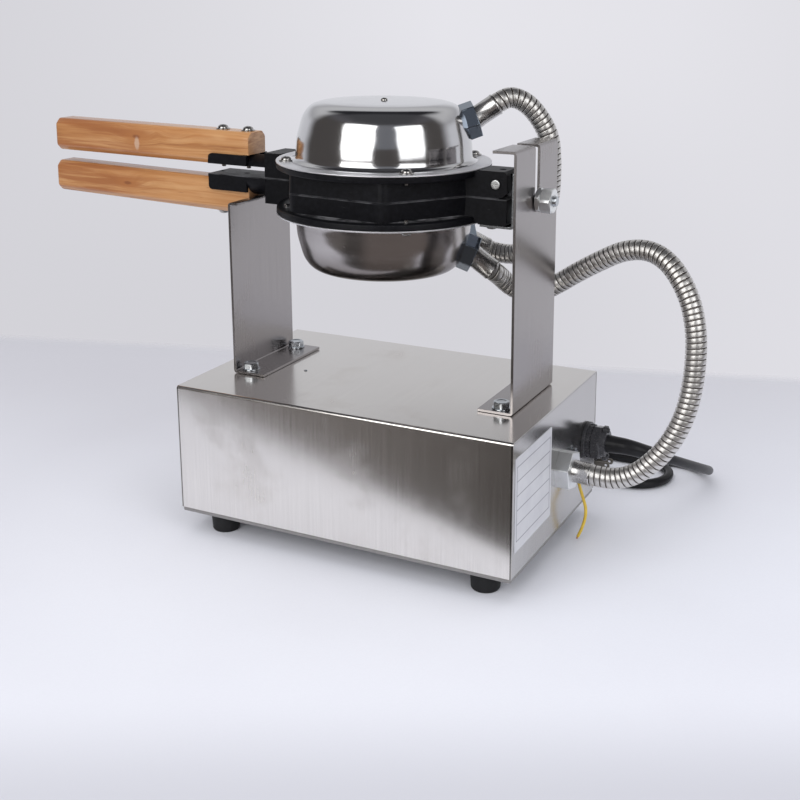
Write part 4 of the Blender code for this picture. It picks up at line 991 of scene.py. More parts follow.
head_end = smooth_route(CORD_ROUTE, 3.0)
cord_line = relaxed(even(head_end + coil, 3.0), 6)
cord = line_curve("mains_cord", cord_line, CORD_R, SHEATH)
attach(cord, "base")
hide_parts("power_cord", "cord_hank")

# plug: flat moulded body with a waist, a grip recess, a ribbed relief and two blades
body_line = soft([(14.0, 0.0), (14.0, 7.2), (21.0, 12.4), (44.0, 13.0), (44.0, 0.0)], [1.5, 7.0, 3.5], 6)
body_ring = body_line + [(x, -y) for x, y in reversed(body_line[1:-1])]
plug_body = prism(body_ring, 0.4, 14.4)
plug_body = boolean(plug_body, moved(cyl(11.0, 12.9, 20.0, 48), Matrix.Translation((31.0, 0, 0)) @ Matrix.Diagonal((1.0, 0.62, 1.0, 1.0))))
plug = put("plug_body", plug_body, PLASTIC, "base", place=(96.0, hy, 0), nodes="plug", bevel=2.4, seg=4)
relief = []
for k in range(25):
    x = 17.6 * k / 24
    relief.append((6.9 - 1.4 * (1 - x / 17.6) - (0.7 if (k % 4) in (2, 3) and 2 < k < 22 else 0.0), x))
relief_me = lathe([(0, 17.6)] + [(r, x) for r, x in reversed(relief)] + [(0, 0)], 40)
relief_me = moved(relief_me, T(0, 0, 7.2) @ R(90, "Y"))
put("plug_relief", relief_me, PLASTIC, None, place=(96.0, hy, 0), smooth=50)
blades = []
for y in (-6.35, 6.35):
    blade = prism(soft([(43.0, 4.0), (59.5, 4.0), (61.0, 5.2), (61.0, 9.1), (59.5, 10.3), (43.0, 10.3)], [0.3, 0.6, 0.6, 0.3], 3), y - 0.75, y + 0.75, "xz")
    blades.append(boolean(blade, moved(cyl(1.6, -3, 3, 24), T(57.0, y, 7.15) @ R(90, "X"))))
put("plug_blades", joined(*blades), PLUG_BLADE, None, place=(96.0, hy, 0), bevel=0.15, seg=1)
for n in ("plug_relief", "plug_blades"):
    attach(bpy.data.objects[n], "base")

# the yellow earth wire hangs from its ring terminal, its end bare
WIRE_ROUTE = [(3.6, 39.9, 78.6), (4.6, 39.7, 72.0), (6.6, 39.5, 65.0), (9.4, 39.2, 55.0), (12.9, 38.9, 45.0), (15.8, 38.8, 35.0), (15.6, 38.6, 25.0), (12.8, 38.3, 14.0), (9.2, 38.0, 5.0)]
wire_line = smooth_route([(HX + a, b, c) for a, b, c in WIRE_ROUTE], 1.5)
wire = line_curve("yellow_earth_wire", wire_line, 1.5, YELLOW, 4)
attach(wire, "base")
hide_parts("earth_wire")
tip_dir = (wire_line[-1] - wire_line[-4]).normalized()
tip = put("bare_wire_end", swept([wire_line[-1] - tip_dir * 2.0, wire_line[-1] + tip_dir * 1.2, wire_line[-1] + tip_dir * 2.6], [1.0, 1.0, 0.85], 20), COPPER, "base")

# =====================================================================  base
wrap_out = rounded([(-HY, BASE_Z0), (-HY, BASE_Z1), (HY, BASE_Z1), (HY, BASE_Z0)], [0, 2.7, 2.7, 0], 8)
wrap_in = rounded([(HY - SHEET, BASE_Z0), (HY - SHEET, BASE_Z1 - SHEET), (-HY + SHEET, BASE_Z1 - SHEET), (-HY + SHEET, BASE_Z0)], [0, 1.5, 1.5, 0], 8)
wrap_me = prism(wrap_out + wrap_in, -HX, HX, "yz")
wrap_me = boolean(wrap_me, box((52.0 - 12.6, HY - 4, 88.0 - 9.2), (52.0 + 12.6, HY + 4, 88.0 + 9.2)))
put("housing_wrap", wrap_me, WRAP, "base", nodes="housing", bevel=0.14, seg=1, angle=50)
for s, n in ((-1, "left"), (1, "right")):
    ring = rounded([(-HY + 1.65, BASE_Z0 + 0.1), (HY - 1.65, BASE_Z0 + 0.1), (HY - 1.65, BASE_Z1 - 1.6), (-HY + 1.65, BASE_Z1 - 1.6)], [0.2, 0.2, 0.9, 0.9], 3)
    a, b = sorted((s * (HX - 0.2), s * (HX - 1.4)))
    put(f"housing_end_{n}", prism(ring, a, b, "yz"), END, "base", bevel=0.2, seg=2)
    lip = prism(soft([(s * (HX - 1.4), BASE_Z0 + 1.4), (s * (HX - 1.4), BASE_Z0 + 0.1), (s * (HX - 12), BASE_Z0 + 0.1), (s * (HX - 12), BASE_Z0 + 1.3)], 0.1, 2), -HY + 4, HY - 4, "xz")
    put(f"housing_lip_{n}", lip, TRAY, "base")

# one rivet on the top sheet
rivet = lathe([(0, 0.9), (0.9, 0.82), (1.6, 0.5), (1.9, 0.0), (0, 0.0)], 32)
put("top_rivet", rivet, ZINC, "base", place=(-86, -16, BASE_Z1))

for i, (sx, sy) in enumerate(((-1, -1), (1, -1), (-1, 1), (1, 1))):
    foot = lathe(
        [(0, 21.1)]
        + soft([(2.0, 21.1), (13.4, 21.1), (14.6, 20.0), (14.6, 17.5), (14.2, 16.6), (13.2, 1.4), (12.0, 0.0), (7.4, 0.0), (6.8, 0.8), (6.2, 7.0)], [0.4, 0.5, 0.4, 0.5, 3.0, 1.0, 0.4, 0.6], 4)
        + [(0, 7.0)],
        64,
    )
    put(f"rubber_foot_{i + 1}", foot, RUBBER, "base", place=(sx * 139.0, sy * 86.0, 0), nodes=f"foot_{i + 1}", smooth=30)

# =====================================================================  uprights
UP_Z0, UP_T = 149.8, 2.4


def upright(name, x_out, inward, half, foot, top, z1, slot_z=None):
    a, b, t = x_out, x_out + inward * UP_T, UP_T
    pts = [(x_out, UP_Z0), (x_out + inward * foot, UP_Z0), (x_out + inward * foot, UP_Z0 + t), (b, UP_Z0 + t), (b, z1 - t), (x_out + inward * top, z1 - t), (x_out + inward * top, z1), (a, z1)]
    me = prism(rounded(pts, [3.0, 0.2, 0.2, 0.9, 0.9, 0.2, 0.2, 3.0], 5), -half, half, "xz")
    if slot_z:
        me = boolean(me, box((x_out - 26, -5.3, slot_z), (x_out + 3, 5.3, z1 + 3)), moved(cyl(5.3, -8, 8, 48), T(x_out, 0, slot_z) @ R(90, "Y")))
    return put(name + "_sheet", me, PLATE, "base", nodes=name, bevel=0.28, seg=2, angle=40)


upright("left_upright", -146.2, 1, 53.0, 35.0, 10.6, 320.0)
bolt_z = HZ + (156.0 - 147.0) * math.sin(TILT)
upright("right_upright", 148.2, -1, 50.7, 34.0, 22.0, 384.5, bolt_z)

for i, (x, y) in enumerate(((-133.0, -42.0), (-133.0, 42.0), (133.6, -41.0), (133.6, 41.0))):
    washer = lathe(soft([(3.9, 0), (8.6, 0), (8.6, 1.4), (3.9, 1.4)], 0.35, 3), 64)
    head = hex_head(8.0, 1.4, 7.0, turn=4 + 23 * i)
    shank = cyl(3.7, -14.0, 1.4, 24)
    put(f"hex_bolt_{i + 1}", joined(washer, head, shank), ZINC, "base", place=(x, y, UP_Z0 + UP_T + 0.05), nodes=f"upright_bolt_{i + 1}", smooth=28)

# =====================================================================  right end
label = prism(rounded([(-105.0, 47.5), (-17.0, 47.5), (-17.0, 133.5), (-105.0, 133.5)], 1.6, 4), HX - 0.15, HX + 0.22, "yz")
put("blank_label", label, PAPER, "base", nodes="rating_label", smooth=60)

stud_rot = R(90, "Y")
stud = joined(
    thread(2.4, 0.0, 7.6, 0.8, 0.4, 28),
    hex_nut(6.4, 1.4, 5.0, 2.3, turn=10),
    lathe(soft([(2.6, 0.0), (7.6, 0.0), (7.6, 0.9), (2.6, 0.9)], 0.25, 2), 48),
)
put("earth_stud_set", stud, ZINC, "base", place=(HX - 0.1, 40.0, 87.6), rot=stud_rot, nodes="earth_stud", smooth=30)
eye = lathe(soft([(2.7, 0.9), (5.0, 0.9), (5.0, 1.7), (2.7, 1.7)], 0.2, 2), 40)
barrel = swept([Vector((2.3, 0, -3.4)), Vector((2.8, 0, -6.0)), Vector((3.4, 0, -9.2)), Vector((3.7, 0, -11.4))], [1.9, 2.1, 2.15, 2.1], 24)
put("ring_terminal", joined(moved(eye, R(90, "Y")), barrel), BLADE, "base", place=(HX, 40.0, 87.6), smooth=30)

# cable gland: ribbed flange, hex body, clamp bar with two screws, and a tapered boot round the cord
rows = [[(0, 0, 0)]]
for r, z in ((18.6, 0.0), (18.6, 2.8), (18.1, 3.4), (16.9, 3.5)):
    rows.append(ring_row(r, z, 120))
for z in (3.6, 7.6):
    rows.append([((16.6 - (0.8 if (k // 5) % 2 else 0.0)) * math.cos(2 * math.pi * k / 120), (16.6 - (0.8 if (k // 5) % 2 else 0.0)) * math.sin(2 * math.pi * k / 120), z) for k in range(120)])
rows.append([(0, 0, 7.6)])
gland_parts = [rows_mesh(rows), rows_mesh([[(0, 0, 7.0)]] + hex_rows(17.6, 7.3, 17.0, 15) + [[(0, 0, 17.0)]])]
gland_parts.append(lathe([(0, 21.5)] + soft([(12.0, 21.5), (12.9, 21.3), (14.4, 16.8), (14.0, 16.0)], 0.5, 3) + [(0, 16.0)], 64))
put("gland_body", joined(*gland_parts), PLASTIC, "base", place=GLAND - Vector((0.25, 0, 0)), rot=R(90, "Y"), nodes="cable_gland", smooth=30)
bar = prism(rounded([(-17.4, -5.0), (17.4, -5.0), (17.4, 5.0), (-17.4, 5.0)], 3.6, 5), 16.9, 20.9)
put("gland_clamp", bar, PLASTIC, "base", place=GLAND, rot=R(90, "Y"), bevel=0.6, seg=3)
for k, v in enumerate((-13.6, 13.6)):
    s = pan_screw(2.7, 1.9, 1.3, 9.0)
    put(f"gland_screw_{k + 1}", s, BLACK_SCREW, "base", place=GLAND + Vector((20.9, 0, -v)), rot=R(90, "Y"), smooth=30)
boot_line = [Vector((GLAND.x + 20.4 + 0.7 * k, 84.5, 85.5)) for k in range(16)] + [v for v in head_end if v.x > GLAND.x + 31.5][:20]
boot_line = even(boot_line, 0.8)
boot_r = []
for k in range(len(boot_line)):
    t = k / (len(boot_line) - 1)
    boot_r.append(9.0 - 2.9 * t ** 0.7)
put("cord_boot", swept(boot_line, boot_r, 40), SHEATH, "base", smooth=50)


# =====================================================================  conduit fittings
def ray(az, el):
    az, el = math.radians(az), math.radians(el)
    return Vector((math.cos(el) * math.cos(az), math.cos(el) * math.sin(az), math.sin(el)))


def around_dome(r, az, z):
    return Vector((PAN_X + r * math.cos(math.radians(az)), r * math.sin(math.radians(az)), z))


def toward(v):
    return Vector((0, 0, 1)).rotation_difference(v).to_matrix().to_4x4()


def fitting(node, body, at, place, nut_dir, out_dir, nut_mat, ferrule=17.0, turn=0.0, nut=9.4, nut_r=17.8, extra=5.0):
    a, b = Vector(nut_dir).normalized(), Vector(out_dir).normalized()
    hexa = boolean(moved(prism([(nut_r * math.cos(math.radians(60 * k + turn)), nut_r * math.sin(math.radians(60 * k + turn))) for k in range(6)], -3.5, nut), EYE4), cyl(8.8, -6, nut + 4, 48))
    put(node + "_nut", hexa, nut_mat, body, at=at, place=place, rot=toward(a), nodes=node, smooth=30, bevel=0.7, seg=3)
    top = Vector(place) + a * (nut - 4.0)
    end = ferrule + 4.0 + extra
    prof = [(9.9, end), (10.3, end + 0.1), (10.7, end - 0.5), (10.65, end - 1.7), (10.25, end - 2.3), (10.25, 7.0), (10.6, 5.6), (10.6, 2.0), (8.0, 1.0), (8.0, 4.0), (9.9, 6.0)]
    put(node + "_sleeve", lathe(prof, 96), CHROME, body, at=at, place=top, rot=toward(b), smooth=40)


UP_FIT, UP_A, UP_B = around_dome(77.6, 29.4, 60.3), ray(29.4, 20), ray(29.4, 34)
LOW_MAIN, LOW_MAIN_A, LOW_MAIN_B = around_dome(78.0, 21.0, -61.0), ray(21, -22), ray(30, -38)
LOW_LINK, LOW_LINK_A, LOW_LINK_B = around_dome(80.4, 50.0, -54.0), ray(50, -14), ray(42, -30)
fitting("upper_link_fitting", "lid", HEAD, UP_FIT, UP_A, UP_B, DARK_NUT, turn=12)
fitting("lower_main_fitting", "lower_head", HEAD, LOW_MAIN, LOW_MAIN_A, LOW_MAIN_B, DARK_NUT, turn=18)
fitting("lower_link_fitting", "lower_head", HEAD, LOW_LINK, LOW_LINK_A, LOW_LINK_B, DARK_NUT, turn=5)
BASE_FIT = Vector((HX + GAP, 11.0, 83.0))
BASE_OUT = Vector((1, 0, -0.06)).normalized()
fitting("base_conduit_fitting", "base", BASE, BASE_FIT - Vector((0.3, 0, 0)), (1, 0, 0), (1, 0, -0.06), NUT, turn=15, nut=12.9, nut_r=19.2, ferrule=13.6, extra=3.0)


def leaned(p):
    """From the head's own frame, z from the parting plane, to the base's frame."""
    return LEAN @ (Vector(p) + Vector((0, 0, HZ)))


def fitting_end(at, a, b, ferrule=17.0, nut=9.4):
    return Vector(at) + Vector(a).normalized() * (nut - 4.0) + Vector(b).normalized() * (ferrule + 4.0)


UP_END = fitting_end(UP_FIT, UP_A, UP_B) + UP_B * 1.2
LOW_MAIN_END = fitting_end(LOW_MAIN, LOW_MAIN_A, LOW_MAIN_B) + LOW_MAIN_B * 1.6
LOW_LINK_END = fitting_end(LOW_LINK, LOW_LINK_A, LOW_LINK_B) + LOW_LINK_B * 1.6
BASE_END = fitting_end(BASE_FIT, (1, 0, 0), BASE_OUT, 13.6, 12.6) + BASE_OUT
LINK_ROUTE = [
    leaned(UP_END - UP_B * 8),
    leaned(UP_END),
    leaned(UP_END + UP_B * 6),
    (96.6, 58.0, 419.7),
    (103.8, 62.0, 418.3),
    (111.0, 66.0, 413.8),
    (117.4, 70.0, 406.5),
    (122.8, 73.0, 398.1),
    (127.2, 75.0, 389.8),
    (130.7, 76.5, 379.0),
    (132.2, 78.0, 360.0),
    (132.0, 79.0, 345.3),
    (131.3, 79.5, 330.6),
    (127.6, 80.5, 313.6),
    (120.4, 81.5, 294.0),
    (108.8, 82.5, 277.6),
    (96.6, 84.0, 265.8),
    leaned(LOW_LINK_END + LOW_LINK_B * 8),
    leaned(LOW_LINK_END),
    leaned(LOW_LINK_END - LOW_LINK_B * 8),
]
MAIN_ROUTE = [
    leaned(LOW_MAIN_END - LOW_MAIN_B * 8),
    leaned(LOW_MAIN_END),
    leaned(LOW_MAIN_END + LOW_MAIN_B * 5),
    (91.9, 52.5, 249.7),
    (101.2, 62.0, 237.8),
    (119.8, 70.0, 231.3),
    (140.5, 73.5, 241.2),
    (162.2, 73.0, 255.7),
    (187.2, 72.0, 270.8),
    (206.0, 70.0, 280.5),
    (224.7, 68.0, 284.6),
    (240.0, 65.0, 282.6),
    (254.0, 61.0, 274.6),
    (266.8, 56.5, 260.0),
    (276.4, 52.0, 242.6),
    (283.0, 47.0, 219.0),
    (285.0, 43.0, 195.0),
    (284.0, 38.0, 168.0),
    (280.2, 32.0, 145.0),
    (271.2, 26.0, 122.0),
    (259.0, 20.5, 104.0),
    (243.2, 16.0, 89.2),
    (231.8, 14.0, 83.7),
    (218.8, 12.4, 81.0),
    tuple(BASE_END + Vector((7.0, 0.2, -0.2))),
    tuple(BASE_END),
    tuple(BASE_END - BASE_OUT * 7),
]
CONDUIT_R = 9.6


def conduit(name, route, node):
    line = relaxed([Vector(route[0])] + smooth_route(route[1:-1], 2.0) + [Vector(route[-1])], 6)
    me = spiral(line, CONDUIT_R, around=48)
    o = put(name, me, SPIRAL, None, nodes=node, smooth=58, normals=False)
    # the groove faces take the dark material: painted shade in the grooves
    me.materials.append(GROOVE_SHADE)
    values = np.zeros(len(me.polygons), dtype=np.int32)
    me.attributes["groove"].data.foreach_get("value", values)
    me.polygons.foreach_set("material_index", values)
    me.attributes.remove(me.attributes["groove"])
    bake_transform(o)
    return o


conduit("main_spiral", MAIN_ROUTE, "main_conduit")
conduit("link_spiral", LINK_ROUTE, "link_conduit")

# =====================================================================  castings


def hexagon(r, rc, seg=6):
    return rounded([(PAN_X + r * math.cos(math.radians(a)), r * math.sin(math.radians(a))) for a in range(-3, 357, 60)], rc, seg)


def bubbles():
    out = []
    for i in range(-3, 4):
        for j in range(-3, 4):
            if abs(i + j) <= 3:
                x, y = BUBBLE_PITCH * (i + j / 2), BUBBLE_PITCH * j * math.sqrt(3) / 2
                if math.hypot(x, y) < 2.9 * BUBBLE_PITCH:
                    out.append((x, y))
    return out


def half_round(r, x0, x1, z_cut, seg=32):
    a0 = math.asin(z_cut / r)
    pts = [(r * math.cos(a0 + (math.pi - 2 * a0) * k / seg), r * math.sin(a0 + (math.pi - 2 * a0) * k / seg)) for k in range(seg + 1)]
    return prism(pts, x0, x1, "yz")


def casting_mesh(low):
    """A pan casting with its neck, arm and hinge lug, parting plane at z = 0, built with its back toward +z."""
    a0, a1, wall = (GAP / 2, 3.6, 16.0) if low else (9.8, 13.2, 20.0)
    hexa = rows_mesh([[(x, y, z) for x, y in hexagon(r, 9.0)] for r, z in ((HEX_R - 0.5, GAP / 2), (HEX_R, 0.8), (HEX_R - 0.9, 18.0))])
    fl = lathe([(0, 23.5)] + soft([(40, 23.5), (PAN_R - 1.6, 23.5), (PAN_R - 2.0, 17.8), (90, 17.3)], [0.8, 1.6], 4) + [(0, 17.3)], 128)
    solid = [moved(fl, T(PAN_X, 0, 0))]
    solid.append(box((-125.5, -ARM_HALF, GAP / 2), (-107.9, ARM_HALF, 24.7)))
    solid.append(box((-112.0, -ARM_HALF + 0.01, GAP / 2 + 0.01), (-88.0, ARM_HALF - 0.01, 23.3)))
    half = ARM_HALF if low else 14.4
    solid.append(box((-192.4, -ARM_HALF, a0), (-146.9, ARM_HALF, a1)))
    solid.append(box((-147.6, -half + 0.01, a0 + 0.01), (-125.0, half - 0.01, a1 - 0.01)))
    for y in (-1, 1):
        p, q = sorted((y * ARM_HALF, y * (ARM_HALF - 3.0)))
        solid.append(prism(rounded([(-192.0, a0 + 0.3), (-147.0, a0 + 0.3), (-147.0, wall), (-192.0, wall)], [0, 0, 0.4, 4.0], 5), p, q, "xz"))
    solid.append(half_round(19.8, -146.9, -124.6, a0 + 0.2))
    if not low:
        solid.append(half_round(19.6, -152.8, -146.0, a0 + 0.2))
    if low:
        pts = rounded([(84.0, 23.3), (98.2, 23.3), (98.2, 24.2), (LUG_X1, 24.2), (LUG_X1, GAP / 2), (84.0, GAP / 2)], [0, 0, 0.3, 2.5, 0.4, 0], 4)
        solid.append(prism(pts, -LUG_HALF, LUG_HALF, "xz"))
        knuckle = [(PIN_X - 7.8, 3.0), (PIN_X + 7.8, 3.0)] + [(PIN_X + 8.0 * math.cos(math.radians(a)), -PIN_Z - 8.0 * math.sin(math.radians(a))) for a in range(0, 181, 10)]
        solid.append(prism(knuckle, -7.0, 7.0, "xz"))
    else:
        cut_arc = [(PIN_X + 12.6 * math.sin(math.radians(4 * k)), PIN_Z - 12.6 * math.cos(math.radians(4 * k))) for k in range(16)]
        pts = [(84.0, GAP / 2), (PIN_X - 0.1, GAP / 2)] + cut_arc + [(LUG_X1, 10.5), (LUG_X1, 21.4), (LUG_X1 - 1.0, 23.2), (LUG_X1 - 3.2, 24.6), (98.2, 24.6), (98.2, 23.3), (84.0, 23.3)]
        solid.append(prism(pts, -LUG_HALF, LUG_HALF, "xz"))
    me = boolean(hexa, *solid, op="UNION")
    floor = (RECESS_LOW if low else RECESS_UP) + 13.0
    tools = [moved(cyl(RECESS_R, -2, floor, 128), T(PAN_X, 0, 0))]
    pin_z = -PIN_Z if low else PIN_Z
    tools.append(moved(cyl(3.7, -30, 30, 32), T(PIN_X, 0, pin_z) @ R(90, "X")))
    if not low:
        tools.append(box((PIN_X - 11.5, -7.5, -1.0), (PIN_X + 30, 7.5, 22.2)))
        tools.append(moved(cyl(3.2, 18, 30, 32), T(PIN_X, 0, 0)))
    for x in HANDLE_SCREWS:
        tools.append(moved(cyl(2.9, -9, 18, 24), T(x, 0, 0)))
    me = boolean(me, *tools)
    return moved(me, MIRROR_Z) if low else me


def bubble_plate(low):
    """The cooking face: a disc with its cups, and a closed back hidden in the casting."""
    n = 168
    u = np.linspace(-1, 1, n + 1)
    gx, gy = np.meshgrid(u, u, indexing="ij")
    r = np.maximum(abs(gx), abs(gy))
    ang = np.where(abs(gx) > abs(gy), (np.pi / 4) * gy / np.where(gx == 0, 1, gx), np.pi / 2 - (np.pi / 4) * gx / np.where(gy == 0, 1, gy))
    sign = np.where(abs(gx) > abs(gy), np.sign(gx), np.sign(gy))
    x, y = sign * r * np.cos(ang) * (RECESS_R - 0.05), sign * r * np.sin(ang) * (RECESS_R - 0.05)
    depth = np.zeros_like(x)
    for cx, cy in bubbles():
        q = np.hypot(x - cx, y - cy) / BUBBLE_R
        ball = np.where(q < 1, np.sqrt(np.maximum(1 - np.minimum(q, 1) ** 2, 0)) ** 0.85, 0)
        rim = np.clip((1.10 - q) / 0.22, 0, 1)
        depth = np.maximum(depth, 11.5 * ball * (0.86 + 0.14 * rim) * np.clip((1.06 - q) / 0.10, 0, 1))
    edge = np.clip((RECESS_R - np.hypot(x, y)) / 2.0, 0, 1)
    z = -depth * np.clip(edge, 0, 1) + 1.2 * (1 - edge) ** 2
    verts = [(float(a) , float(b), float(c)) for a, b, c in zip(x.ravel(), y.ravel(), z.ravel())]
    m = n + 1
    faces = [(i * m + j, (i + 1) * m + j, (i + 1) * m + j + 1, i * m + j + 1) for i in range(n) for j in range(n)]
    border = [i * m for i in range(n)] + [n * m + j for j in range(n)] + [i * m + n for i in range(n, 0, -1)] + [j for j in range(n, 0, -1)]
    first = len(verts)
    for k in border:
        v = verts[k]
        verts.append((v[0], v[1], -12.8))
    c = len(border)
    faces += [(border[k], border[(k + 1) % c], first + (k + 1) % c, first + k) for k in range(c)]
    faces.append(tuple(first + k for k in range(c)))
    me = moved(mesh("plate", verts, faces), T(PAN_X, 0, -RECESS_LOW if low else 0))
    return me if low else moved(moved(me, MIRROR_Z), T(0, 0, RECESS_UP))


for low in (True, False):
    tag, body = ("lower", "lower_head") if low else ("upper", "lid")
    s = -1 if low else 1
    put(f"{tag}_casting", casting_mesh(low), CAST, body, at=HEAD, nodes=f"{tag}_pan", smooth=32, bevel=0.7, seg=3, angle=28)
    put(f"{tag}_bubble_plate", bubble_plate(low), FACE, body, at=HEAD, smooth=60)
    flip = FLIP if low else EYE4
    ring = lathe(soft([(74.0, 23.8), (PAN_R - 1.6, 23.8), (PAN_R - 1.6, 25.0), (74.0, 25.0)], [0.1, 0.55], 4), 160)
    put(f"{tag}_cover_ring", ring, RING, body, at=HEAD, place=(PAN_X, 0, 0), rot=flip, nodes=f"{tag}_ring", smooth=40)
    zb = 25.05
    ctrl = [(0, 55.0), (26, 54.9), (48, 54.4), (60, 53.2), (68.5, 50.0), (75.0, 42.0), (79.0, 30.0), (81.4, 20.5), (82.4, 11.0), (82.8, 5.0), (83.9, 2.0), (85.2, 1.0)]
    curve = smooth_route([(r, z, 0) for r, z in ctrl], 2.2)
    outer = [(max(v.x, 0.0), v.y) for v in curve]
    outer[0] = (0.0, 55.0)
    flange = [(87.2, 0.85), (87.8, 0.6), (87.8, 0.0), (83.0, 0.0), (81.8, 3.0)]
    inner = [(max(r - 1.0, 0.0), z - 1.0) for r, z in reversed(outer[:-1]) if z > 6.0]
    inner[-1] = (0.0, 54.0)
    dome_me = lathe([(r, z + zb) for r, z in outer[:-1] + flange + inner], 160)
    put(f"{tag}_cover", dome_me, LOW_DOME if low else DOME, body, at=HEAD, place=(PAN_X, 0, 0), rot=flip, nodes=f"{tag}_heater_cover", smooth=50)
    for k, a in enumerate(SCREW_ANGLES):
        x, y = PAN_X + SCREW_RING * math.cos(math.radians(a)), SCREW_RING * math.sin(math.radians(a))
        me = pan_screw(4.8, 4.6, 2.1, 9.5, washer=(6.6, 1.5))
        put(f"{tag}_cover_screw_{k + 1}", moved(me, R(37 * k + 11, "Z")), SCREW, body, at=HEAD, place=(x, y, s * 25.03), rot=flip, nodes=f"{tag}_ring_screw_{k + 1}", smooth=30)
    centre = pan_screw(3.3, 2.2, 1.4, 2.0)
    put(f"{tag}_centre_screw", centre, SCREW, body, at=HEAD, place=(PAN_X, 0, s * (zb + 54.9)), rot=flip, smooth=30)


# =====================================================================  hinge and pivot
pin_me = lathe([(0, 17.6)] + soft([(3.0, 17.6), (4.3, 17.6), (4.3, 16.1), (3.4, 16.1)], 0.5, 3) + soft([(3.4, -16.1), (4.3, -16.1), (4.3, -17.6), (3.0, -17.6)], 0.5, 3) + [(0, -17.6)], 48)
put("hinge_pin_bar", pin_me, PIN, "lower_head", at=HEAD, place=(PIN_X, 0, PIN_Z), rot=R(90, "X"), nodes="hinge_pin", smooth=30)
strap = rounded([(99.3, -26.7), (132.6, -26.7), (132.6, 23.4), (129.7, 23.4), (129.7, -24.3), (99.3, -24.3)], [0.4, 4.0, 0.3, 0.3, 1.6, 0.4], 6)
strap_me = boolean(prism(strap, -14, 14, "xz"), moved(cyl(5.1, 125, 136, 48), R(90, "Y")), moved(cyl(3.0, -30, -20, 32), T(105.6, 0, 0)))
put("bracket_strap", strap_me, ZINC, "lower_head", at=HEAD, nodes="pivot_bracket", bevel=0.4, seg=2)
put("strap_screw", pan_screw(5.8, 4.0, 2.4, 11.0), PIN, "lower_head", at=HEAD, place=(105.6, 0, -26.75), rot=FLIP, nodes="bracket_screw", smooth=30)
bolt = joined(lathe([(0, 129.6)] + soft([(3, 129.6), (6.2, 129.6), (6.2, 127.3), (3, 127.3)], 0.7, 3) + [(0, 127.3)], 48), cyl(4.55, 129.0, 148.0, 40), thread(4.8, 147.5, 167.0, 1.25, 0.6, 44))
put("pivot_bolt_set", bolt, ZINC, "lower_head", at=HEAD, rot=R(90, "Y"), nodes="pivot_bolt", smooth=30)
put("jam_nut_set", hex_nut(12.0, 149.0, 153.7, 4.7, turn=12), NUT, "lower_head", at=HEAD, rot=R(90, "Y"), nodes="jam_nut", smooth=28)
put("pivot_nut_set", hex_nut(12.2, 153.8, 164.0, 4.7, turn=28), NUT, "lower_head", at=HEAD, rot=R(90, "Y"), nodes="pivot_nut", smooth=28)


# =====================================================================  wooden handles
def handle_mesh(low):
    (f0, f1), (p0, p1) = LOWER_WOOD if low else UPPER_WOOD
    r_end, x1 = 4.4, WOOD_X1 - (0.0 if low else 1.1)
    stations = [(WOOD_X0 + r_end * (1 - math.cos(math.pi / 2 * k / 6)), r_end * (1 - math.sin(math.pi / 2 * k / 6))) for k in range(7)]
    stations += [(WOOD_X0 + r_end + (x1 - WOOD_X0 - r_end - 1.0) * k / 24, 0.0) for k in range(1, 25)]
    stations += [(x1 - 1.0 + 1.0 * math.sin(math.pi / 2 * k / 4), 1.0 * (1 - math.cos(math.pi / 2 * k / 4))) for k in range(1, 5)]
    rows = []
    for x, d in stations:
        t = (x - WOOD_X0) / (WOOD_X1 - WOOD_X0)
        z0, z1 = f0 + (p0 - f0) * t + d, f1 + (p1 - f1) * t - d
        h, c = WOOD_HALF - d, 5.2 - 0.35 * d
        pts = [(-h, z0 + c), (-h + c, z0), (h - c, z0), (h, z0 + c), (h, z1 - c), (h - c, z1), (-h + c, z1), (-h, z1 - c)]
        rows.append([(x, y, z) for y, z in rounded(pts, 3.4, 5)])
    me = rows_mesh(rows)
    plate = 3.65 if low else 13.25
    me = boolean(me, box((-192.7 - WOOD_SHIFT[low], -30, -1.0 if low else 3.0), (-140, 30, plate)))
    if not low:
        me = boolean(me, box((-155.6, -30, 3.0), (-140, 30, 20.2)))
        return moved(me, T(WOOD_SHIFT[False], 0, 0))
    return moved(moved(me, T(WOOD_SHIFT[True], 0, 0)), MIRROR_Z)


for low in (True, False):
    tag, body, s = ("lower", "lower_head", -1) if low else ("upper", "lid", 1)
    put(f"{tag}_wooden_handle", handle_mesh(low), WOOD_LOW if low else WOOD_UP, body, at=HEAD, nodes=f"{tag}_handle", smooth=40)
    (f0, f1), (p0, p1) = LOWER_WOOD if low else UPPER_WOOD
    for k, x in enumerate(HANDLE_SCREWS):
        top = f1 + (p1 - f1) * (x - WOOD_X0) / (WOOD_X1 - WOOD_X0)
        tip = top + GAP - (2.4 if low else 5.1)
        me = pan_screw(5.4, 4.6, 2.3, tip - 0.6, washer=(7.0, 1.2))
        put(f"{tag}_grip_screw_{k + 1}", moved(me, R(23 + 50 * k, "Z")), SCREW, body, at=HEAD, place=(x + WOOD_SHIFT[low], 0, s * top), rot=FLIP if low else EYE4, nodes=f"{tag}_handle_screw_{k + 1}", smooth=30)

# =====================================================================  control side
FY = HY + GAP
PANEL = R(-90, "X")  # local Z points along +Y


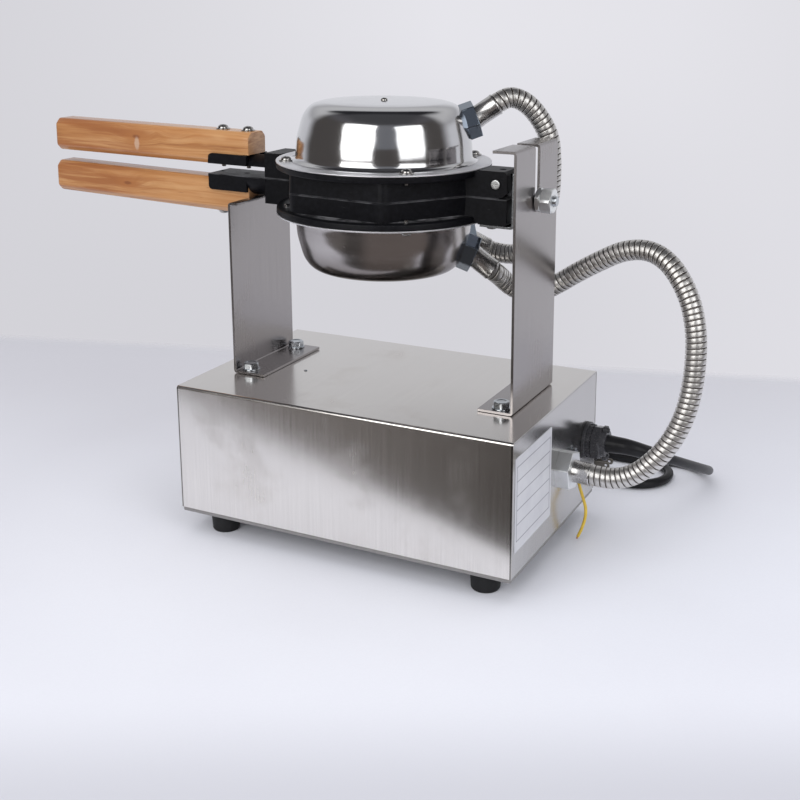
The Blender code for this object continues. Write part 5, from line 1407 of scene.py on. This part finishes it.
def knob_mesh(teeth):
    skirt = lathe([(0, 4.0)] + soft([(14.0, 4.0), (20.2, 4.0), (21.0, 1.6), (21.0, 0.6), (14.0, 0.6)], 0.8, 4) + [(0, 0.6)], 96)
    n = teeth * 8
    rows = []
    for z, d in ((3.0, 0.0), (15.4, 0.0), (16.4, 0.35), (17.0, 1.2)):
        r = 15.5 - 1.5 * (z - 3.0) / 14.0 - d
        rows.append([((r - 0.55 * (0.5 + 0.5 * math.cos(teeth * 2 * math.pi * k / n)) ** 2) * math.cos(2 * math.pi * k / n), (r - 0.55 * (0.5 + 0.5 * math.cos(teeth * 2 * math.pi * k / n)) ** 2) * math.sin(2 * math.pi * k / n), z) for k in range(n)])
    rows.append(ring_row(11.4, 17.0, n))
    rows.append(ring_row(10.8, 16.5, n))
    rows.append([(0, 0, 16.5)])
    rows = [[(0, 0, 3.0)]] + rows
    return joined(skirt, rows_mesh(rows))


for tag, x, teeth, face in (("thermostat", -108.0, 24, FACE_A), ("timer", -30.0, 24, FACE_B)):
    body = f"{tag}_dial"
    put(f"{tag}_scale", moved(lathe([(0, 0.28)] + soft([(20, 0.28), (29.0, 0.28), (29.0, 0.0), (20, 0.0)], 0.08, 2) + [(0, 0.0)], 96), EYE4), face, "base", place=(x, HY, 88.0), rot=PANEL, smooth=30)
    put(f"{tag}_grip", knob_mesh(teeth), PLASTIC, body, place=(x, FY, 88.0), rot=PANEL, nodes=f"{tag}_knob", smooth=35)
    mark = prism(rounded([(-0.9, 6.0), (0.9, 6.0), (0.9, 15.6), (-0.9, 15.6)], 0.5, 3), 16.2, 17.9, "xy")
    put(f"{tag}_pointer", mark, MARK, body, place=(x, FY, 88.0), rot=PANEL, bevel=0.2, seg=2)

bezel = prism(rounded([(36.0, 75.5), (68.0, 75.5), (68.0, 100.5), (36.0, 100.5)], 2.2, 5), HY, FY + 2.2, "xz")
bezel = boolean(bezel, prism(rounded([(39.4, 78.8), (64.6, 78.8), (64.6, 97.2), (39.4, 97.2)], 0.8, 3), HY - 3, FY + 6, "xz"))
put("switch_frame", bezel, PLASTIC, "base", nodes="switch_bezel", bevel=0.5, seg=3)
rock = soft([(-11.8, -2.2), (11.8, -2.2), (11.8, 0.0), (0.0, 2.2), (-11.8, 3.2)], [0.3, 0.5, 3.0], 4)
put("rocker_cap", prism(rock, -8.8, 8.8), LENS, "rocker", place=(52.0, FY + 2.4, 88.0), nodes="power_rocker", bevel=0.45, seg=3)
dot = joined(
    lathe(soft([(2.1, 0.0), (2.7, 0.0), (2.7, 0.22), (2.1, 0.22)], 0.06, 2), 40),
)
lens = lathe([(0, 7.0)] + soft([(1.6, 6.9), (4.0, 6.0), (6.0, 3.4), (6.2, 1.9), (6.2, 0.2)], [2.0, 2.0, 1.0], 5) + [(0, 0.2)], 64)
put("pilot_lens", lens, LENS, "base", place=(104.0, FY, 88.0), rot=PANEL, nodes="pilot_lamp", smooth=45)
collar = lathe(soft([(6.25, -0.3), (8.6, -0.3), (8.6, 1.6), (6.25, 1.8)], 0.5, 4), 64)
put("pilot_collar", collar, CHROME, "base", place=(104.0, FY, 88.0), rot=PANEL, smooth=40)

# =====================================================================  CAD nodes that show as they are, or sit inside
for names, material, slot in (
    (("bottom_plate",), TRAY, "brushed_stainless"),
    (("upper_heater", "lower_heater"), CORE, "heater_and_switch_bodies"),
    (("thermostat_body", "timer_body"), SWITCHES, "heater_and_switch_bodies"),
):
    for n in names:
        NODES[n].data.materials.clear()
        NODES[n].data.materials.append(material)
left = [n for n, o in NODES.items() if not o.hide_render]
print("CAD nodes still shown:", left)

# =====================================================================  studio
scene.view_settings.view_transform = "Standard"
scene.view_settings.look = "None"
scene.view_settings.exposure = 0.0
scene.view_settings.gamma = 1.0

FORWARD = Vector((-math.sin(AZ), math.cos(AZ), 0.0))
ACROSS = Vector((math.cos(AZ), math.sin(AZ), 0.0))


def mirrored(px, py):
    """The point of the table that the long side shows at a place in the picture."""
    d = -back + side * ((px - 400.0) / FOCAL) - up * ((py - CENTRE_Y) / FOCAL)
    y = (ORIGIN.y - HY) * MM
    p = EYE + d * ((y - EYE.y) / d.y)
    d = Vector((d.x, -d.y, d.z))
    return p + d * (-p.z / d.z)


far_a, far_b = floor_at(0, 337), floor_at(800, 380)
near_a, near_b = mirrored(205, 405), mirrored(505, 552)
print("table: far edge", far_a, far_b, "near edge", near_a, near_b)


def floor_paint():
    p = Paint("pale_table", rough=0.75, specular=0.12)
    pos = p.coords.outputs["Object"]

    def along(direction, origin=(0, 0, 0)):
        n = p.node("ShaderNodeVectorMath", operation="SUBTRACT")
        p.plug(n.inputs[0], pos)
        n.inputs[1].default_value = origin
        q = p.node("ShaderNodeVectorMath", operation="DOT_PRODUCT")
        p.plug(q.inputs[0], n.outputs[0])
        q.inputs[1].default_value = direction
        return q.outputs["Value"]

    deep, wide = along(FORWARD), along(ACROSS)
    edge = (far_b - far_a).normalized()
    beyond = along((-edge.y, edge.x, 0.0), tuple(far_a))
    keep = p.span(beyond, -0.020, 0.020, 1.0, 0.0, smooth=True)
    rad = p.calc("SQRT", p.calc("ADD", p.calc("MULTIPLY", deep, deep), p.calc("MULTIPLY", wide, wide)))
    keep = p.calc("MULTIPLY", keep, p.span(rad, 1.7, 2.3, 1.0, 0.0, smooth=True))
    # painted light falloff: the table darker towards the back and towards the left
    tone = p.mix(p.span(deep, -0.25, 0.55, 0.0, 1.0, smooth=True), (0.83, 0.845, 0.905), (0.735, 0.735, 0.775))
    tone = p.mix(p.span(wide, -0.7, 0.7, 0.30, 0.0, smooth=True), tone, (0.62, 0.62, 0.665))
    # painted shade: a darker band along the front of the table, at the picture's bottom edge
    front_a, front_b = (floor_at(400, y).dot(FORWARD) for y in (815, 690))
    tone = p.mix(p.span(deep, front_a, front_b, 0.85, 0.0, smooth=True), tone, (0.56, 0.565, 0.61))
    # painted light: the table lightened round the base, which lifts its shadows
    tone = p.mix(p.span(rad, 0.26, 0.40, 0.30, 0.0, smooth=True), tone, (0.895, 0.91, 0.965))
    weave = p.voronoi(p.scaled((520.0, 520.0, 520.0)), 1.0)
    tone = p.mix(p.span(weave, 0.1, 0.7, 0.0, 0.05), tone, (0.60, 0.60, 0.66))
    soil = p.noise(p.at, 3.0, 3.0, 0.5)
    tone = p.mix(p.span(soil, 0.45, 0.75, 0.0, 0.10, smooth=True), tone, (0.62, 0.60, 0.66))
    p.set("color", tone)
    p.set("normal", p.bump(soil, 0.0012, 0.5))
    t = p.node("ShaderNodeBsdfTransparent")
    m = p.node("ShaderNodeMixShader")
    out = p.t.nodes["Material Output"]
    p.plug(m.inputs[0], keep)
    p.t.links.new(t.outputs[0], m.inputs[1])
    p.t.links.new(p.b.outputs[0], m.inputs[2])
    p.t.links.new(m.outputs[0], out.inputs["Surface"])
    return p.m


FLOOR = floor_paint()
edge = near_b - near_a
cut_no = Vector((edge.y, -edge.x, 0)).normalized()
if cut_no.dot(FORWARD) > 0:
    cut_no = -cut_no  # points to the camera's side
for tag in ("near", "front"):
    bm = bmesh.new()
    bmesh.ops.create_circle(bm, cap_ends=True, segments=96, radius=2.4)
    bmesh.ops.bisect_plane(bm, geom=bm.verts[:] + bm.edges[:] + bm.faces[:], plane_co=near_a, plane_no=cut_no, clear_outer=tag == "near", clear_inner=tag == "front")
    me = bpy.data.meshes.new(f"table_{tag}")
    bm.to_mesh(me)
    bm.free()
    me.materials.append(FLOOR)
    o = bpy.data.objects.new(f"table_{tag}", me)
    scene.collection.objects.link(o)
    if tag == "front":
        o.visible_glossy = False

AIM = Vector((0.0, 0.0, 0.24))


def panel(name, az, el, dist, width, height, radiance, color=(1, 1, 1), roll=0.0, shows=True):
    """A soft box that shines on the object and shows in its metal, and not to the camera."""
    light = bpy.data.lights.new(name, "AREA")
    light.shape = "RECTANGLE"
    light.size, light.size_y = width, height
    light.energy = radiance * math.pi * width * height
    light.color = color
    a, e = math.radians(az), math.radians(el)
    d = Vector((math.sin(a) * math.cos(e), -math.cos(a) * math.cos(e), math.sin(e)))
    o = bpy.data.objects.new(name, light)
    scene.collection.objects.link(o)
    o.matrix_world = Matrix.Translation(AIM + d * dist) @ d.to_track_quat("Z", "Y").to_matrix().to_4x4() @ Matrix.Rotation(math.radians(roll), 4, "Z")
    o.visible_camera = False
    o.visible_glossy = shows
    return o


panel("soft_box_left", 27 - 33, 22, 1.9, 1.45, 1.45, 2.6, (1.0, 0.995, 0.985))
panel("soft_box_right", 27 + 37, 20, 1.9, 1.15, 1.20, 2.1, (0.99, 0.995, 1.0))
panel("ceiling", 0, 88, 1.7, 2.0, 2.0, 0.62, shows=False)

world = bpy.data.worlds.new("studio")
scene.world = world
world.use_nodes = True
wt = world.node_tree
for n in list(wt.nodes):
    wt.nodes.remove(n)


class Sky(Paint):
    def __init__(self, tree):
        self.t = tree
        self.coords = tree.nodes.new("ShaderNodeTexCoord")
        self.at = self.coords.outputs["Generated"]


sky = Sky(wt)
sx, sy, sz = sky.parts()
flat = sky.calc("MAXIMUM", sky.calc("SQRT", sky.calc("ADD", sky.calc("MULTIPLY", sx, sx), sky.calc("MULTIPLY", sy, sy))), 0.001)
behind = sky.calc("DIVIDE", sky.calc("ADD", sky.calc("MULTIPLY", sx, FORWARD.x), sky.calc("MULTIPLY", sy, FORWARD.y)), flat)
across = sky.calc("ADD", sky.calc("MULTIPLY", sx, ACROSS.x), sky.calc("MULTIPLY", sy, ACROSS.y))
# what the metal sees: a dark room in front, pale walls behind, a pale ceiling
ahead = sky.calc("ADD", sky.calc("MULTIPLY", sx, FORWARD.x), sky.calc("MULTIPLY", sy, FORWARD.y))
# the wall between and round the two windows is lit a little
facing = sky.calc("ADD", sky.calc("MULTIPLY", ahead, -0.93), sky.calc("MULTIPLY", sz, 0.36))
front = sky.mix(sky.span(sky.calc("MULTIPLY", facing, sky.span(sz, 0.0, 0.25, smooth=True)), 0.70, 0.98, smooth=True), (0.090, 0.082, 0.079), (0.20, 0.205, 0.225))
front = sky.mix(sky.span(sz, 0.55, 0.74, smooth=True), front, (0.118, 0.114, 0.124))
# the floor in front of the table is a little lighter than the room, most of it on the right
floor = sky.mix(sky.span(across, -0.785, -0.70, smooth=True), (0.165, 0.150, 0.145), (0.066, 0.060, 0.057))
floor = sky.mix(sky.span(across, -0.55, -0.25, smooth=True), floor, (0.180, 0.154, 0.145))
front = sky.mix(sky.span(sz, -0.10, -0.30, smooth=True), front, floor)
rear = sky.ramp(sz, (0.20, (0.755, 0.76, 0.80)), (0.36, (0.50, 0.50, 0.52)), (0.55, (0.66, 0.66, 0.67)))
turned = sky.calc("ADD", behind, sky.calc("MULTIPLY", across, 0.24))
room = sky.mix(sky.span(turned, 0.08, 0.46, smooth=True), front, rear)
# over the object: grey, then a dark strip behind it
over = sky.ramp(sky.span(ahead, -1.0, 1.0), (0.50, (0.074, 0.074, 0.080)), (0.59, (0.028, 0.028, 0.033)), (0.75, (0.028, 0.028, 0.033)), (0.82, (0.66, 0.66, 0.68)))
strip = sky.calc("MULTIPLY", sky.span(sz, 0.62, 0.74, smooth=True), sky.span(sky.calc("ABSOLUTE", across), 0.44, 0.70, 1.0, 0.0, smooth=True))
room = sky.mix(strip, room, over)
# what the camera sees: the wall
wall = sky.ramp(sky.span(across, -0.36, 0.36), (0.0, (0.655, 0.650, 0.690)), (0.30, (0.72, 0.715, 0.755)), (0.55, (0.79, 0.785, 0.83)), (0.80, (0.775, 0.77, 0.815)), (1.0, (0.735, 0.73, 0.77)))
haze = sky.mix(sky.span(across, 0.02, 0.34, smooth=True), (0.655, 0.65, 0.69), (0.735, 0.73, 0.775))
low_wall = sky.mix(sky.span(sz, -0.26, -0.02, 0.0, 1.0, smooth=True), haze, wall)
path = sky.node("ShaderNodeLightPath")
seen = sky.mix(path.outputs["Is Glossy Ray"], (0.62, 0.62, 0.65), room)
seen = sky.mix(path.outputs["Is Camera Ray"], seen, low_wall)
bg = sky.node("ShaderNodeBackground")
sky.plug(bg.inputs["Color"], seen)
bg.inputs["Strength"].default_value = 1.0
wo = sky.node("ShaderNodeOutputWorld")
wt.links.new(bg.outputs[0], wo.inputs["Surface"])
